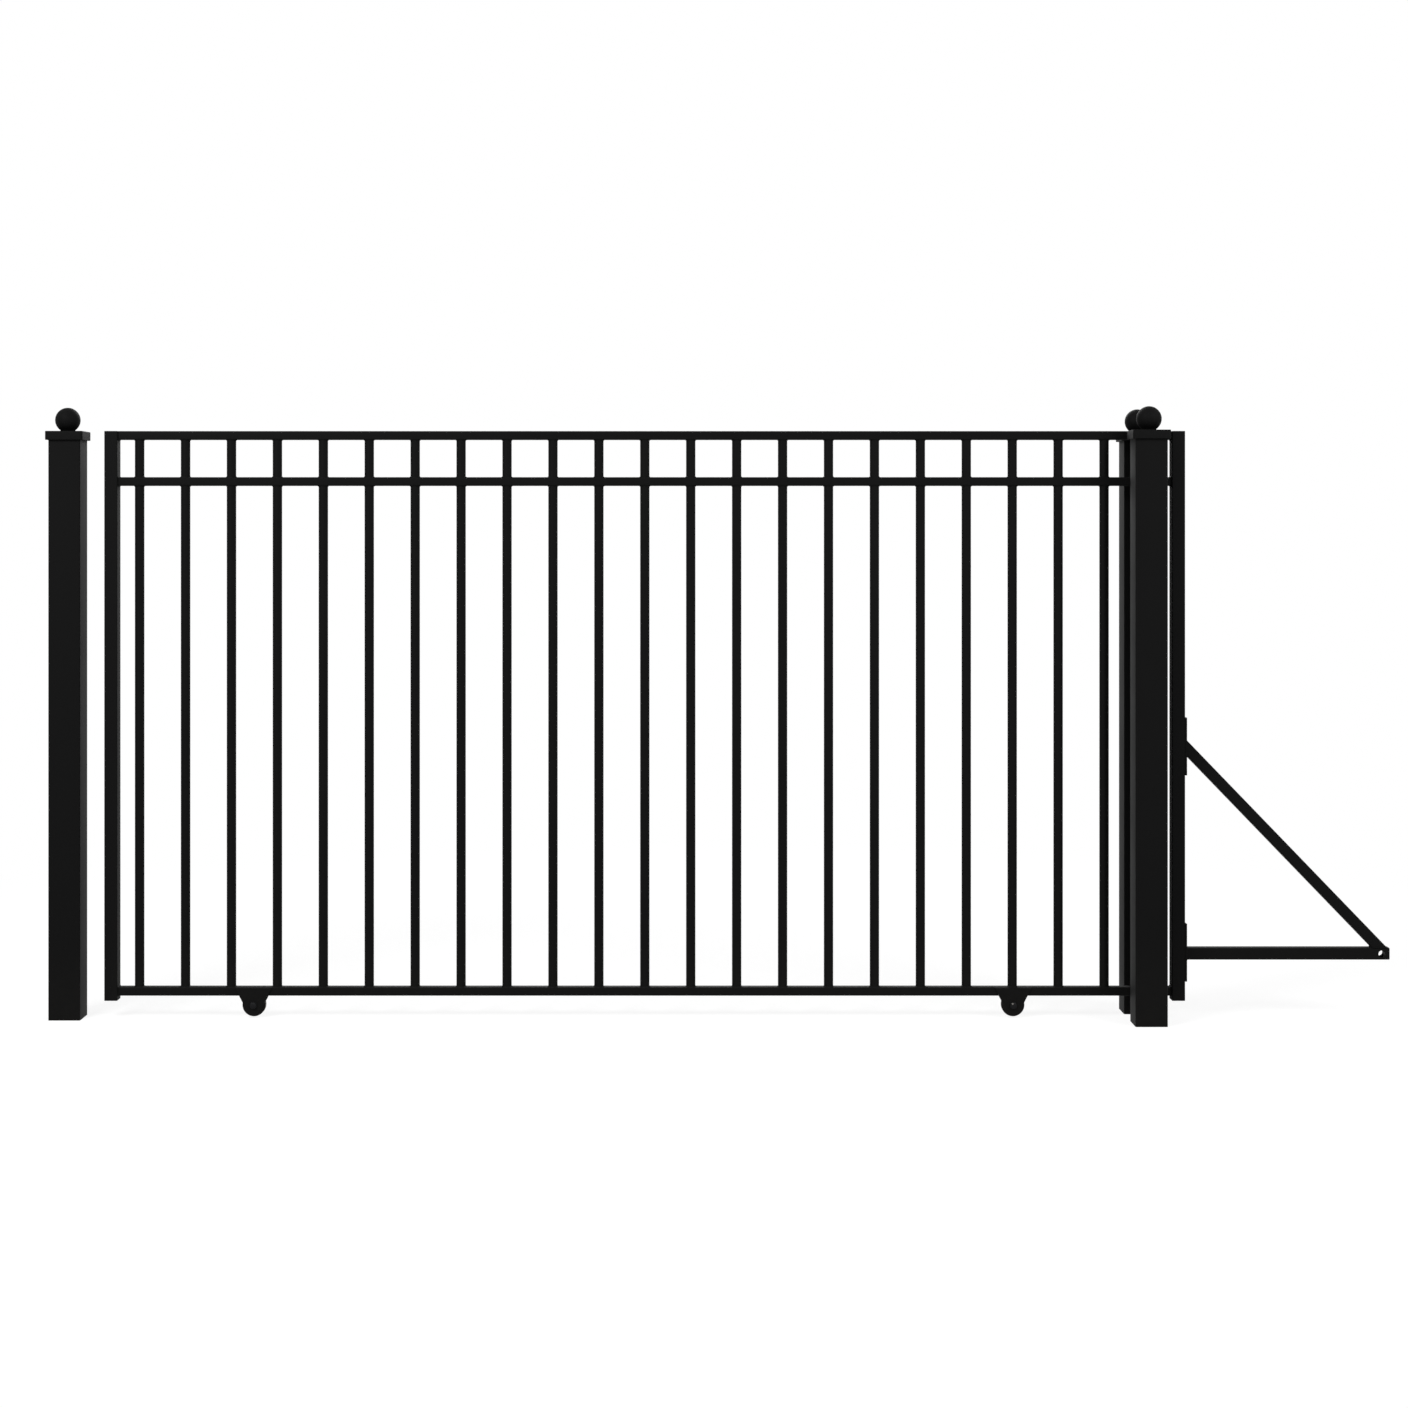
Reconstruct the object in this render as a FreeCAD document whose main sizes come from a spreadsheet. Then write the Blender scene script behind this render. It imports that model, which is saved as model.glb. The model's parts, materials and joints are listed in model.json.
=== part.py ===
import FreeCAD, Part
import os
import Sketcher

# Sliding driveway gate: a picket leaf on two grooved wheels that runs between a pair of guide posts.
# Frame: origin at the middle of the latch post's foot, X along the leaf from the latch post to the
# guide posts, Y away from the street side, Z up. The middle plane of the leaf is Y = 0.

# Driving dimensions, in millimetres and degrees
SIZES = (
    ("post_width", 102, "side of the square post tube"),
    ("post_wall", 3, "wall of the post tube"),
    ("post_corner", 4, "outer corner radius of the post tube"),
    ("post_drop", 5, "top of the leaf to the cut top of the posts"),
    ("guide_gap", 112, "clear gap between the two guide posts"),
    ("cap_width", 120, "side of the square post cap"),
    ("cap_height", 28, "post cap from its rim to its flat top"),
    ("cap_wall", 4, "skirt and top of the post cap"),
    ("cap_corner", 6, "outer corner radius of the post cap"),
    ("cap_clearance", 1, "room between the cap's ribs and the post"),
    ("cap_rib_width", 5, "width of a rib inside the cap"),
    ("cap_rib_spread", 60, "distance between the two ribs of a side"),
    ("ball_diameter", 80, "ball on the post cap"),
    ("ball_sink", 3.5, "depth that the ball is let into the cap"),
    ("leaf_gap", 71.3, "latch post face to the leaf's leading edge"),
    ("leaf_width", 3469, "leaf over both uprights"),
    ("leaf_height", 1829, "leaf over the uprights and their plugs"),
    ("leaf_foot", 58, "ground to the foot of the uprights"),
    ("leaf_overlap", 131.3, "axes of the guide posts to the leaf's trailing edge"),
    ("upright_width", 42, "upright tube along the leaf"),
    ("upright_depth", 50, "upright tube across the leaf"),
    ("upright_wall", 2.5, "wall of the upright tube"),
    ("upright_corner", 3, "outer corner radius of the upright tube"),
    ("rail_height", 28, "rail tube upwards"),
    ("rail_depth", 34, "rail tube across the leaf"),
    ("rail_wall", 2, "wall of the rail tube"),
    ("rail_corner", 4, "outer corner radius of the rail tube"),
    ("rail_gap", 120, "clear gap between the top and middle rails"),
    ("bottom_rail_lift", 14.8, "foot of the uprights to the bottom rail"),
    ("picket_diameter", 30, "round picket tube"),
    ("picket_wall", 1.5, "wall of the picket tube"),
    ("picket_sides", 12, "flats that stand for the picket's round"),
    ("picket_pitch", 147.8, "spacing of the pickets"),
    ("plug_head", 3, "head of a tube plug"),
    ("plug_leg", 10, "depth of a plug inside its tube"),
    ("plug_clearance", 0.8, "room around a plug's leg inside its tube"),
    ("wheel_diameter", 74, "wheel over its flanges"),
    ("wheel_width", 20, "rim of the wheel"),
    ("wheel_lift", 6, "ground to the wheel's flanges, the room of a track's foot"),
    ("groove_depth", 7, "depth of the square V groove"),
    ("groove_floor", 2, "flat at the bottom of the groove"),
    ("hub_diameter", 26, "hub of the wheel"),
    ("hub_clearance", 0.3, "room between the hub and each ear"),
    ("axle_diameter", 12, "axle bolt"),
    ("axle_clearance", 0.1, "running room around the axle bolt"),
    ("axle_flats", 19, "axle bolt head and nut across flats"),
    ("axle_head", 7.5, "height of the axle bolt's head"),
    ("axle_nut", 10, "height of the axle bolt's nut"),
    ("axle_tail", 3, "axle bolt beyond its nut"),
    ("ear_thickness", 4, "plate of a wheel ear"),
    ("ear_top_width", 116, "wheel ear along its top edge"),
    ("ear_top_margin", 3, "top of the bottom rail to the ear's top edge"),
    ("ear_nose", 27, "radius of the ear's nose about the axle"),
    ("notch_clearance", 5, "room around the wheel in the rail's notch"),
    ("leading_wheel_inset", 478.2, "leading edge of the leaf to the leading axle"),
    ("trailing_wheel_inset", 551, "trailing edge of the leaf to the trailing axle"),
    ("plate_height", 185, "mounting plate of the tail"),
    ("plate_thickness", 6, "mounting plate of the tail"),
    ("plate_lift", 4.5, "middle of the tube that a plate carries to the middle of the plate"),
    ("tail_reach", 651.7, "mounting plates to the end of the tail"),
    ("tail_rise", 208, "ground to the middle of the tail bar"),
    ("tail_width", 38, "side of the square tail bar"),
    ("tail_wall", 2, "wall of the tail bar"),
    ("tail_corner", 4, "outer corner radius of the tail bar"),
    ("brace_width", 35, "side of the square brace"),
    ("brace_wall", 2, "wall of the brace"),
    ("brace_angle", 46, "slope of the brace, in degrees"),
    ("brace_inset", 31, "end of the tail to the middle of the brace's foot"),
    ("chain_hole_diameter", 22, "cross hole for the drive chain's bracket"),
    ("chain_hole_inset", 25, "end of the tail to the cross hole"),
    ("roller_diameter", 28, "guide roller"),
    ("roller_height", 22, "tread of the guide roller"),
    ("roller_clearance", 0.3, "room between a roller and what it runs on"),
    ("roller_hub", 17, "lower hub of the guide roller"),
    ("pin_diameter", 8, "guide roller pin"),
    ("pin_clearance", 0.1, "running room around the pin"),
    ("pin_flats", 13, "pin head and nut across flats"),
    ("pin_head", 5.5, "height of the pin's head and nut"),
    ("pin_tail", 2, "pin beyond its nut"),
    ("bracket_width", 40, "guide bracket along the leaf"),
    ("bracket_thickness", 5, "plate of the guide bracket"),
    ("bracket_drop", 65, "leg of the guide bracket down the post"),
    ("bracket_bend", 4, "inner radius of the bracket's bend"),
    ("bracket_lip", 8, "guide bracket beyond the pin's axis"),
    ("bracket_gap", 1, "post cap's rim to the bracket"),
)

# Sizes that follow from the driving dimensions
FORMULAS = (
    ("leaf_lead", "post_width / 2 + leaf_gap"),
    ("leaf_trail", "leaf_lead + leaf_width"),
    ("leaf_top", "leaf_foot + leaf_height"),
    ("leaf_middle", "leaf_lead + leaf_width / 2"),
    ("guide_post_reach", "leaf_trail - leaf_overlap"),
    ("post_height", "leaf_top - post_drop"),
    ("post_bore", "post_width - 2 * post_wall"),
    ("post_bore_corner", "max(post_corner - post_wall; post_wall / 2)"),
    ("guide_post_offset", "guide_gap / 2 + post_width / 2"),
    ("cap_base", "post_height + cap_wall - cap_height"),
    ("cap_inside", "cap_height - cap_wall"),
    ("cap_bore", "cap_width - 2 * cap_wall"),
    ("cap_bore_corner", "max(cap_corner - cap_wall; cap_wall / 4)"),
    ("cap_rib_outer", "cap_width / 2 - cap_wall / 2"),
    ("cap_rib_inner", "post_width / 2 + cap_clearance"),
    ("cap_rib_near", "cap_rib_spread / 2 - cap_rib_width / 2"),
    ("cap_rib_far", "cap_rib_spread / 2 + cap_rib_width / 2"),
    ("ball_radius", "ball_diameter / 2"),
    ("ball_centre", "cap_height - ball_sink + ball_radius"),
    ("upright_bore_width", "upright_width - 2 * upright_wall"),
    ("upright_bore_depth", "upright_depth - 2 * upright_wall"),
    ("upright_bore_corner", "max(upright_corner - upright_wall; upright_wall / 2)"),
    ("upright_length", "leaf_height - 2 * plug_head"),
    ("upright_base", "leaf_foot + plug_head"),
    ("upright_cut_top", "leaf_top - plug_head"),
    ("leading_upright_axis", "leaf_lead + upright_width / 2"),
    ("trailing_upright_axis", "leaf_trail - upright_width / 2"),
    ("rail_bore_depth", "rail_depth - 2 * rail_wall"),
    ("rail_bore_height", "rail_height - 2 * rail_wall"),
    ("rail_bore_corner", "max(rail_corner - rail_wall; rail_wall / 2)"),
    ("rail_start", "leaf_lead + upright_width"),
    ("rail_length", "leaf_width - 2 * upright_width"),
    ("top_rail_axis", "leaf_top - rail_height / 2"),
    ("middle_rail_axis", "top_rail_axis - rail_height - rail_gap"),
    ("bottom_rail_base", "leaf_foot + bottom_rail_lift"),
    ("bottom_rail_axis", "bottom_rail_base + rail_height / 2"),
    ("bottom_rail_top", "bottom_rail_base + rail_height"),
    ("middle_rail_top", "middle_rail_axis + rail_height / 2"),
    ("rail_face", "rail_depth / 2"),
    ("picket_bore", "picket_diameter - 2 * picket_wall"),
    ("picket_half_count", "floor((rail_length / 2 - picket_diameter) / picket_pitch)"),
    ("picket_count", "2 * picket_half_count + 1"),
    ("picket_span", "2 * picket_half_count * picket_pitch"),
    ("picket_start", "leaf_middle - picket_span / 2"),
    ("lower_picket_length", "middle_rail_axis - rail_height / 2 - bottom_rail_top"),
    ("upright_leg_across", "upright_bore_width / 2 - plug_clearance"),
    ("upright_leg_up", "upright_bore_depth / 2 - plug_clearance"),
    ("tail_leg_half", "tail_bore / 2 - plug_clearance"),
    ("wheel_radius", "wheel_diameter / 2"),
    ("axle_rise", "wheel_lift + wheel_radius"),
    ("leading_axle", "leaf_lead + leading_wheel_inset"),
    ("trailing_axle", "leaf_trail - trailing_wheel_inset"),
    ("rim_half", "wheel_width / 2"),
    ("groove_radius", "wheel_radius - groove_depth"),
    ("groove_floor_half", "groove_floor / 2"),
    ("groove_top_half", "groove_floor / 2 + groove_depth"),
    ("hub_radius", "hub_diameter / 2"),
    ("hub_half", "rail_depth / 2 - hub_clearance"),
    ("axle_radius", "axle_diameter / 2"),
    ("wheel_bore", "axle_radius + axle_clearance"),
    ("axle_corners", "axle_flats / 2 / cos(30)"),
    ("ear_outer_face", "rail_face + ear_thickness"),
    ("ear_top", "bottom_rail_top - ear_top_margin - axle_rise"),
    ("axle_front", "ear_outer_face + axle_head"),
    ("axle_length", "2 * ear_outer_face + axle_head + axle_nut + axle_tail"),
    ("notch_rise", "axle_rise + wheel_radius + notch_clearance - bottom_rail_base"),
    ("notch_half", "sqrt((wheel_radius + notch_clearance) ^ 2 - (bottom_rail_base - axle_rise) ^ 2)"),
    ("notch_top", "notch_rise - rail_height / 2"),
    ("notch_bottom", "rail_height / 2 + notch_clearance"),
    ("leading_notch_from", "leading_axle - notch_half - rail_start"),
    ("leading_notch_to", "leading_axle + notch_half - rail_start"),
    ("trailing_notch_from", "trailing_axle - notch_half - rail_start"),
    ("trailing_notch_to", "trailing_axle + notch_half - rail_start"),
    ("plate_base_lower", "tail_rise + plate_lift - plate_height / 2"),
    ("plate_base_upper", "brace_head + plate_lift - plate_height / 2"),
    ("tail_start", "leaf_trail + plate_thickness"),
    ("tail_length", "tail_reach - plug_head"),
    ("tail_cut_end", "tail_start + tail_length"),
    ("tail_bore", "tail_width - 2 * tail_wall"),
    ("tail_bore_corner", "max(tail_corner - tail_wall; tail_wall / 2)"),
    ("tail_top", "tail_rise + tail_width / 2"),
    ("chain_hole_place", "tail_reach - chain_hole_inset"),
    ("brace_run", "tail_reach - brace_inset"),
    ("brace_climb", "brace_run * tan(brace_angle)"),
    ("brace_head", "tail_top + brace_climb"),
    ("brace_half_across", "brace_width / 2 / sin(brace_angle)"),
    ("brace_half_up", "brace_width / 2 / cos(brace_angle)"),
    ("brace_bore", "brace_width - 2 * brace_wall"),
    ("brace_bore_across", "brace_bore / 2 / sin(brace_angle)"),
    ("brace_bore_up", "brace_bore / 2 / cos(brace_angle)"),
    ("brace_foot_far", "brace_run + brace_half_across"),
    ("brace_foot_near", "brace_run - brace_half_across"),
    ("brace_head_high", "brace_climb + brace_half_up"),
    ("brace_head_low", "brace_climb - brace_half_up"),
    ("brace_bore_far", "brace_run + brace_bore_across"),
    ("brace_bore_near", "brace_run - brace_bore_across"),
    ("brace_bore_high", "brace_climb + brace_bore_up"),
    ("brace_bore_low", "brace_climb - brace_bore_up"),
    ("roller_radius", "roller_diameter / 2"),
    ("roller_axis", "rail_face + roller_clearance + roller_radius"),
    ("roller_base", "top_rail_axis - roller_height / 2 - bracket_top"),
    ("roller_top", "roller_base + roller_height"),
    ("roller_hub_radius", "roller_hub / 2"),
    ("roller_bore", "pin_diameter / 2 + pin_clearance"),
    ("bracket_top", "cap_base - bracket_gap"),
    ("bracket_reach", "guide_gap / 2"),
    ("bracket_tip", "roller_axis - bracket_lip"),
    ("bracket_inner_face", "bracket_reach - bracket_thickness"),
    ("bracket_outer_bend", "bracket_bend + bracket_thickness"),
    ("pin_radius", "pin_diameter / 2"),
    ("pin_corners", "pin_flats / 2 / cos(30)"),
    ("pin_foot", "-bracket_thickness - pin_head - pin_tail"),
    ("pin_length", "roller_top + roller_clearance + pin_head - pin_foot"),
    ("pin_head_base", "roller_top + roller_clearance"),
    ("pin_nut_base", "-bracket_thickness - pin_head"),
)

FULL_TURN = 360
HALF_TURN = 180
CAP_SIDES = 4
HEXAGON_SIDES = 6
EDGE_TOLERANCE = 0.01

doc = FreeCAD.newDocument("sliding_driveway_gate")
sizes = doc.addObject("Spreadsheet::Sheet", "sizes")


def fill_sheet():
    row = 1
    for name, number, note in SIZES:
        sizes.set(f"A{row}", name)
        sizes.set(f"B{row}", str(number))
        sizes.setAlias(f"B{row}", name)
        sizes.set(f"C{row}", note)
        row += 1
    for name, formula in FORMULAS:
        sizes.set(f"A{row}", name)
        sizes.setAlias(f"B{row}", name)
        row += 1
    row -= len(FORMULAS)
    for name, formula in FORMULAS:
        sizes.set(f"B{row}", "=" + formula)
        row += 1
    doc.recompute()


fill_sheet()


# Sheet values, with a leading minus for the opposite side of the middle
def term(name):
    return f"-sizes.{name[1:]}" if name.startswith("-") else f"sizes.{name}"


def value(name):
    number = float(getattr(sizes, name.lstrip("-")))
    return -number if name.startswith("-") else number


def bind(thing, **names):
    for property_name, name in names.items():
        thing.setExpression(property_name, term(name))


def place(thing, x=None, y=None, z=None):
    for axis, name in (("x", x), ("y", y), ("z", z)):
        if name:
            thing.setExpression(f"Placement.Base.{axis}", term(name))


# Bodies, sketches and the features that every piece uses
def new_body(label):
    body = doc.addObject("PartDesign::Body", label)
    body.Label = label
    body.AllowCompound = True
    return body


def origin_plane(body, role):
    return next(feature for feature in body.Origin.OriginFeatures if feature.Role == role)


def new_sketch(body, name, role, offset=None):
    sketch = body.newObject("Sketcher::SketchObject", f"{body.Label}_{name}")
    sketch.AttachmentSupport = [(origin_plane(body, role), "")]
    sketch.MapMode = "FlatFace"
    if offset:
        sketch.setExpression("AttachmentOffset.Base.z", term(offset))
    return sketch


def hold(sketch, kind, *places, size):
    index = sketch.addConstraint(Sketcher.Constraint(kind, *places, value(size)))
    sketch.setExpression(f"Constraints[{index}]", term(size))


def draw_outline(sketch, corners):
    """A closed outline whose corners are each held by two named sizes, or lie on an axis."""
    points = [FreeCAD.Vector(*(value(name) if name else 0 for name in corner), 0) for corner in corners]
    lines = []
    for start, end in zip(points, points[1:] + points[:1]):
        lines.append(sketch.addGeometry(Part.LineSegment(start, end), False))
    for line, following in zip(lines, lines[1:] + lines[:1]):
        sketch.addConstraint(Sketcher.Constraint("Coincident", line, 2, following, 1))
    for line, (across, up) in zip(lines, corners):
        if across:
            hold(sketch, "DistanceX", -1, 1, line, 1, size=across)
        else:
            sketch.addConstraint(Sketcher.Constraint("PointOnObject", line, 1, -2))
        if up:
            hold(sketch, "DistanceY", -1, 1, line, 1, size=up)
        else:
            sketch.addConstraint(Sketcher.Constraint("PointOnObject", line, 1, -1))


def draw_circle(sketch, diameter, across=None, up=None, guide=False):
    """A circle at the origin, or away from it along one axis of the sketch."""
    centre = FreeCAD.Vector(value(across) if across else 0, value(up) if up else 0, 0)
    round_line = Part.Circle(centre, FreeCAD.Vector(0, 0, 1), value(diameter) / 2)
    circle = sketch.addGeometry(round_line, guide)
    for kind, axis, size in (("DistanceX", -2, across), ("DistanceY", -1, up)):
        if size:
            hold(sketch, kind, -1, 1, circle, 3, size=size)
        else:
            sketch.addConstraint(Sketcher.Constraint("PointOnObject", circle, 3, axis))
    hold(sketch, "Diameter", circle, size=diameter)
    return circle


def draw_flats(sketch, diameter, sides):
    """A round of equal flats, with their corners on the circle and the first corner on the X axis."""
    circle = draw_circle(sketch, diameter, guide=True)
    corners = sketch.Geometry[circle].toShape().discretize(int(value(sides)) + 1)
    lines = []
    for start, end in zip(corners, corners[1:]):
        lines.append(sketch.addGeometry(Part.LineSegment(start, end), False))
    for line, following in zip(lines, lines[1:] + lines[:1]):
        sketch.addConstraint(Sketcher.Constraint("Coincident", line, 2, following, 1))
        sketch.addConstraint(Sketcher.Constraint("PointOnObject", line, 1, circle))
    for line in lines[1:]:
        sketch.addConstraint(Sketcher.Constraint("Equal", lines[0], line))
    sketch.addConstraint(Sketcher.Constraint("PointOnObject", lines[0], 1, -1))


def draw_tube_outline(sketch, across, up, corner):
    """A rectangle about the sketch's origin with round corners, as rolled tube has."""
    half_across = value(across) / 2
    half_up = value(up) / 2
    radius = value(corner)
    quarter = FreeCAD.Units.parseQuantity("90 deg").getValueAs("rad").Value
    sides = []
    bends = []
    signs = ((1, 1), (-1, 1), (-1, -1), (1, -1))
    for turn, (right, top) in enumerate(signs):
        centre = FreeCAD.Vector(right * (half_across - radius), top * (half_up - radius), 0)
        arc = Part.ArcOfCircle(
            Part.Circle(centre, FreeCAD.Vector(0, 0, 1), radius), turn * quarter, (turn + 1) * quarter
        )
        bends.append(sketch.addGeometry(arc, False))
    for bend, following in zip(bends, bends[1:] + bends[:1]):
        start = sketch.getPoint(bend, 2)
        end = sketch.getPoint(following, 1)
        side = sketch.addGeometry(Part.LineSegment(start, end), False)
        sketch.addConstraint(Sketcher.Constraint("Tangent", bend, 2, side, 1))
        sketch.addConstraint(Sketcher.Constraint("Tangent", side, 2, following, 1))
        sides.append(side)
    for bend in bends[1:]:
        sketch.addConstraint(Sketcher.Constraint("Equal", bends[0], bend))
    sketch.addConstraint(Sketcher.Constraint("Horizontal", sides[0]))
    sketch.addConstraint(Sketcher.Constraint("Vertical", sides[1]))
    sketch.addConstraint(Sketcher.Constraint("Symmetric", bends[0], 3, bends[2], 3, -1, 1))
    hold(sketch, "Radius", bends[0], size=corner)
    hold(sketch, "DistanceX", sides[1], 1, sides[3], 1, size=across)
    hold(sketch, "DistanceY", sides[2], 1, sides[0], 1, size=up)


def pad(body, sketch, length, symmetric=False, reverse=False):
    feature = body.newObject("PartDesign::Pad", f"{sketch.Name}_pad")
    feature.Profile = sketch
    bind(feature, Length=length)
    feature.SideType = "Symmetric" if symmetric else "One side"
    feature.Reversed = reverse
    sketch.Visibility = False
    return feature


def pocket(body, sketch, length, symmetric=False, reverse=False):
    feature = body.newObject("PartDesign::Pocket", f"{sketch.Name}_pocket")
    feature.Profile = sketch
    bind(feature, Length=length)
    feature.SideType = "Symmetric" if symmetric else "One side"
    feature.Reversed = reverse


def cut_through(body, sketch):
    feature = body.newObject("PartDesign::Pocket", f"{sketch.Name}_cut")
    feature.Profile = sketch
    feature.Type = "ThroughAll"
    feature.SideType = "Symmetric"


def revolve(body, sketch):
    feature = body.newObject("PartDesign::Revolution", f"{sketch.Name}_turned")
    feature.Profile = sketch
    feature.ReferenceAxis = (sketch, ["V_Axis"])
    feature.Angle = FULL_TURN


def fuse(label, pieces):
    solid = doc.addObject("Part::MultiFuse", label)
    solid.Label = label
    solid.Shapes = pieces
    return solid


def gather(label, pieces):
    group = doc.addObject("Part::Compound", label)
    group.Label = label
    group.Links = pieces
    return group


# Posts: square tube, cut off square at the ground and at the top
def make_post(label, x=None, y=None):
    body = new_body(label)
    section = new_sketch(body, "section", "XY_Plane")
    draw_tube_outline(section, "post_width", "post_width", "post_corner")
    draw_tube_outline(section, "post_bore", "post_bore", "post_bore_corner")
    pad(body, section, "post_height")
    place(body, x, y)
    return body


# Post caps: a square skirt with locating ribs, and a ball cast on its flat top
def make_cap(label, x=None, y=None):
    body = new_body(label)
    block = new_sketch(body, "block", "XY_Plane")
    draw_tube_outline(block, "cap_width", "cap_width", "cap_corner")
    pad(body, block, "cap_height")
    inside = new_sketch(body, "inside", "XY_Plane")
    draw_tube_outline(inside, "cap_bore", "cap_bore", "cap_bore_corner")
    pocket(body, inside, "cap_inside", reverse=True)
    ribs = new_sketch(body, "ribs", "XY_Plane")
    for near, far in (("cap_rib_near", "cap_rib_far"), ("-cap_rib_far", "-cap_rib_near")):
        draw_outline(ribs, (
            ("cap_rib_inner", near), ("cap_rib_outer", near),
            ("cap_rib_outer", far), ("cap_rib_inner", far),
        ))
    rib_pad = pad(body, ribs, "cap_inside")
    sides = body.newObject("PartDesign::PolarPattern", f"{label}_sides")
    sides.Originals = [rib_pad]
    sides.Axis = (origin_plane(body, "Z_Axis"), [""])
    sides.Angle = FULL_TURN
    sides.Occurrences = CAP_SIDES
    body.Tip = sides
    ball = new_sketch(body, "ball", "XZ_Plane")
    draw_half_ball(ball)
    revolve(body, ball)
    place(body, x, y, "cap_base")
    return body


def draw_half_ball(sketch):
    """Half of the ball: an arc from pole to pole, closed along the axis that it is turned about."""
    centre = FreeCAD.Vector(0, value("ball_centre"), 0)
    up = FreeCAD.Vector(0, value("ball_radius"), 0)
    out = FreeCAD.Vector(value("ball_radius"), 0, 0)
    arc = sketch.addGeometry(Part.Arc(centre - up, centre + out, centre + up), False)
    axis = sketch.addGeometry(Part.LineSegment(centre + up, centre - up), False)
    sketch.addConstraint(Sketcher.Constraint("Coincident", arc, 2, axis, 1))
    sketch.addConstraint(Sketcher.Constraint("Coincident", axis, 2, arc, 1))
    for point in (1, 2, 3):
        sketch.addConstraint(Sketcher.Constraint("PointOnObject", arc, point, -2))
    hold(sketch, "DistanceY", -1, 1, arc, 3, size="ball_centre")
    hold(sketch, "Radius", arc, size="ball_radius")


# Leaf frame: two uprights with three rails between them, all rolled tube
def make_upright(label, axis):
    body = new_body(label)
    section = new_sketch(body, "section", "XY_Plane")
    draw_tube_outline(section, "upright_width", "upright_depth", "upright_corner")
    draw_tube_outline(section, "upright_bore_width", "upright_bore_depth", "upright_bore_corner")
    pad(body, section, "upright_length")
    place(body, axis, None, "upright_base")
    return body


def make_rail(label, axis):
    body = new_body(label)
    section = new_sketch(body, "section", "YZ_Plane")
    draw_tube_outline(section, "rail_depth", "rail_height", "rail_corner")
    draw_tube_outline(section, "rail_bore_depth", "rail_bore_height", "rail_bore_corner")
    pad(body, section, "rail_length")
    place(body, "rail_start", None, axis)
    return body


def notch_for_wheels(rail):
    for end in ("leading", "trailing"):
        notch = new_sketch(rail, f"{end}_notch", "XZ_Plane")
        draw_outline(notch, (
            (f"{end}_notch_from", "-notch_bottom"), (f"{end}_notch_to", "-notch_bottom"),
            (f"{end}_notch_to", "notch_top"), (f"{end}_notch_from", "notch_top"),
        ))
        cut_through(rail, notch)


def make_pickets(label, base, length):
    body = new_body(label)
    section = new_sketch(body, "section", "XY_Plane")
    draw_flats(section, "picket_diameter", "picket_sides")
    draw_flats(section, "picket_bore", "picket_sides")
    first = pad(body, section, length)
    row = body.newObject("PartDesign::LinearPattern", f"{label}_row")
    row.Originals = [first]
    row.Direction = (origin_plane(body, "X_Axis"), [""])
    bind(row, Length="picket_span", Occurrences="picket_count")
    body.Tip = row
    place(body, "picket_start", None, base)
    return body


# Plugs: a flat head on the tube's end, with a square-cornered leg inside the tube
def make_plug(label, role, head, leg, x, z, head_down=False):
    body = new_body(label)
    head_sketch = new_sketch(body, "head", role)
    draw_tube_outline(head_sketch, *head)
    pad(body, head_sketch, "plug_head", reverse=head_down)
    leg_sketch = new_sketch(body, "leg", role)
    across, up = leg
    draw_outline(leg_sketch, (
        (across, up), (f"-{across}", up), (f"-{across}", f"-{up}"), (across, f"-{up}"),
    ))
    pad(body, leg_sketch, "plug_leg", reverse=not head_down)
    place(body, x, None, z)
    return body


UPRIGHT_HEAD = ("upright_width", "upright_depth", "upright_corner")
UPRIGHT_LEG = ("upright_leg_across", "upright_leg_up")
TAIL_HEAD = ("tail_width", "tail_width", "tail_corner")
TAIL_LEG = ("tail_leg_half", "tail_leg_half")


# Wheels: turned solid, with a square V groove and a hub as long as the room between the ears
def make_wheel(label, axle):
    body = new_body(label)
    half = new_sketch(body, "profile", "XY_Plane")
    draw_outline(half, (
        ("wheel_bore", "-hub_half"), ("hub_radius", "-hub_half"), ("hub_radius", "-rim_half"),
        ("wheel_radius", "-rim_half"), ("wheel_radius", "-groove_top_half"),
        ("groove_radius", "-groove_floor_half"), ("groove_radius", "groove_floor_half"),
        ("wheel_radius", "groove_top_half"), ("wheel_radius", "rim_half"),
        ("hub_radius", "rim_half"), ("hub_radius", "hub_half"), ("wheel_bore", "hub_half"),
    ))
    revolve(body, half)
    place(body, axle, None, "axle_rise")
    return body


# Wheel brackets: two tapered ears on the faces of the bottom rail, rounded about the axle
def make_ears(label, axle):
    body = new_body(label)
    outline = new_sketch(body, "outline", "XZ_Plane", offset="rail_face")
    draw_ear(outline)
    draw_circle(outline, "axle_diameter")
    front = pad(body, outline, "ear_thickness")
    pair = body.newObject("PartDesign::Mirrored", f"{label}_pair")
    pair.Originals = [front]
    pair.MirrorPlane = (origin_plane(body, "XZ_Plane"), [""])
    body.Tip = pair
    place(body, axle, None, "axle_rise")
    return body


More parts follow.
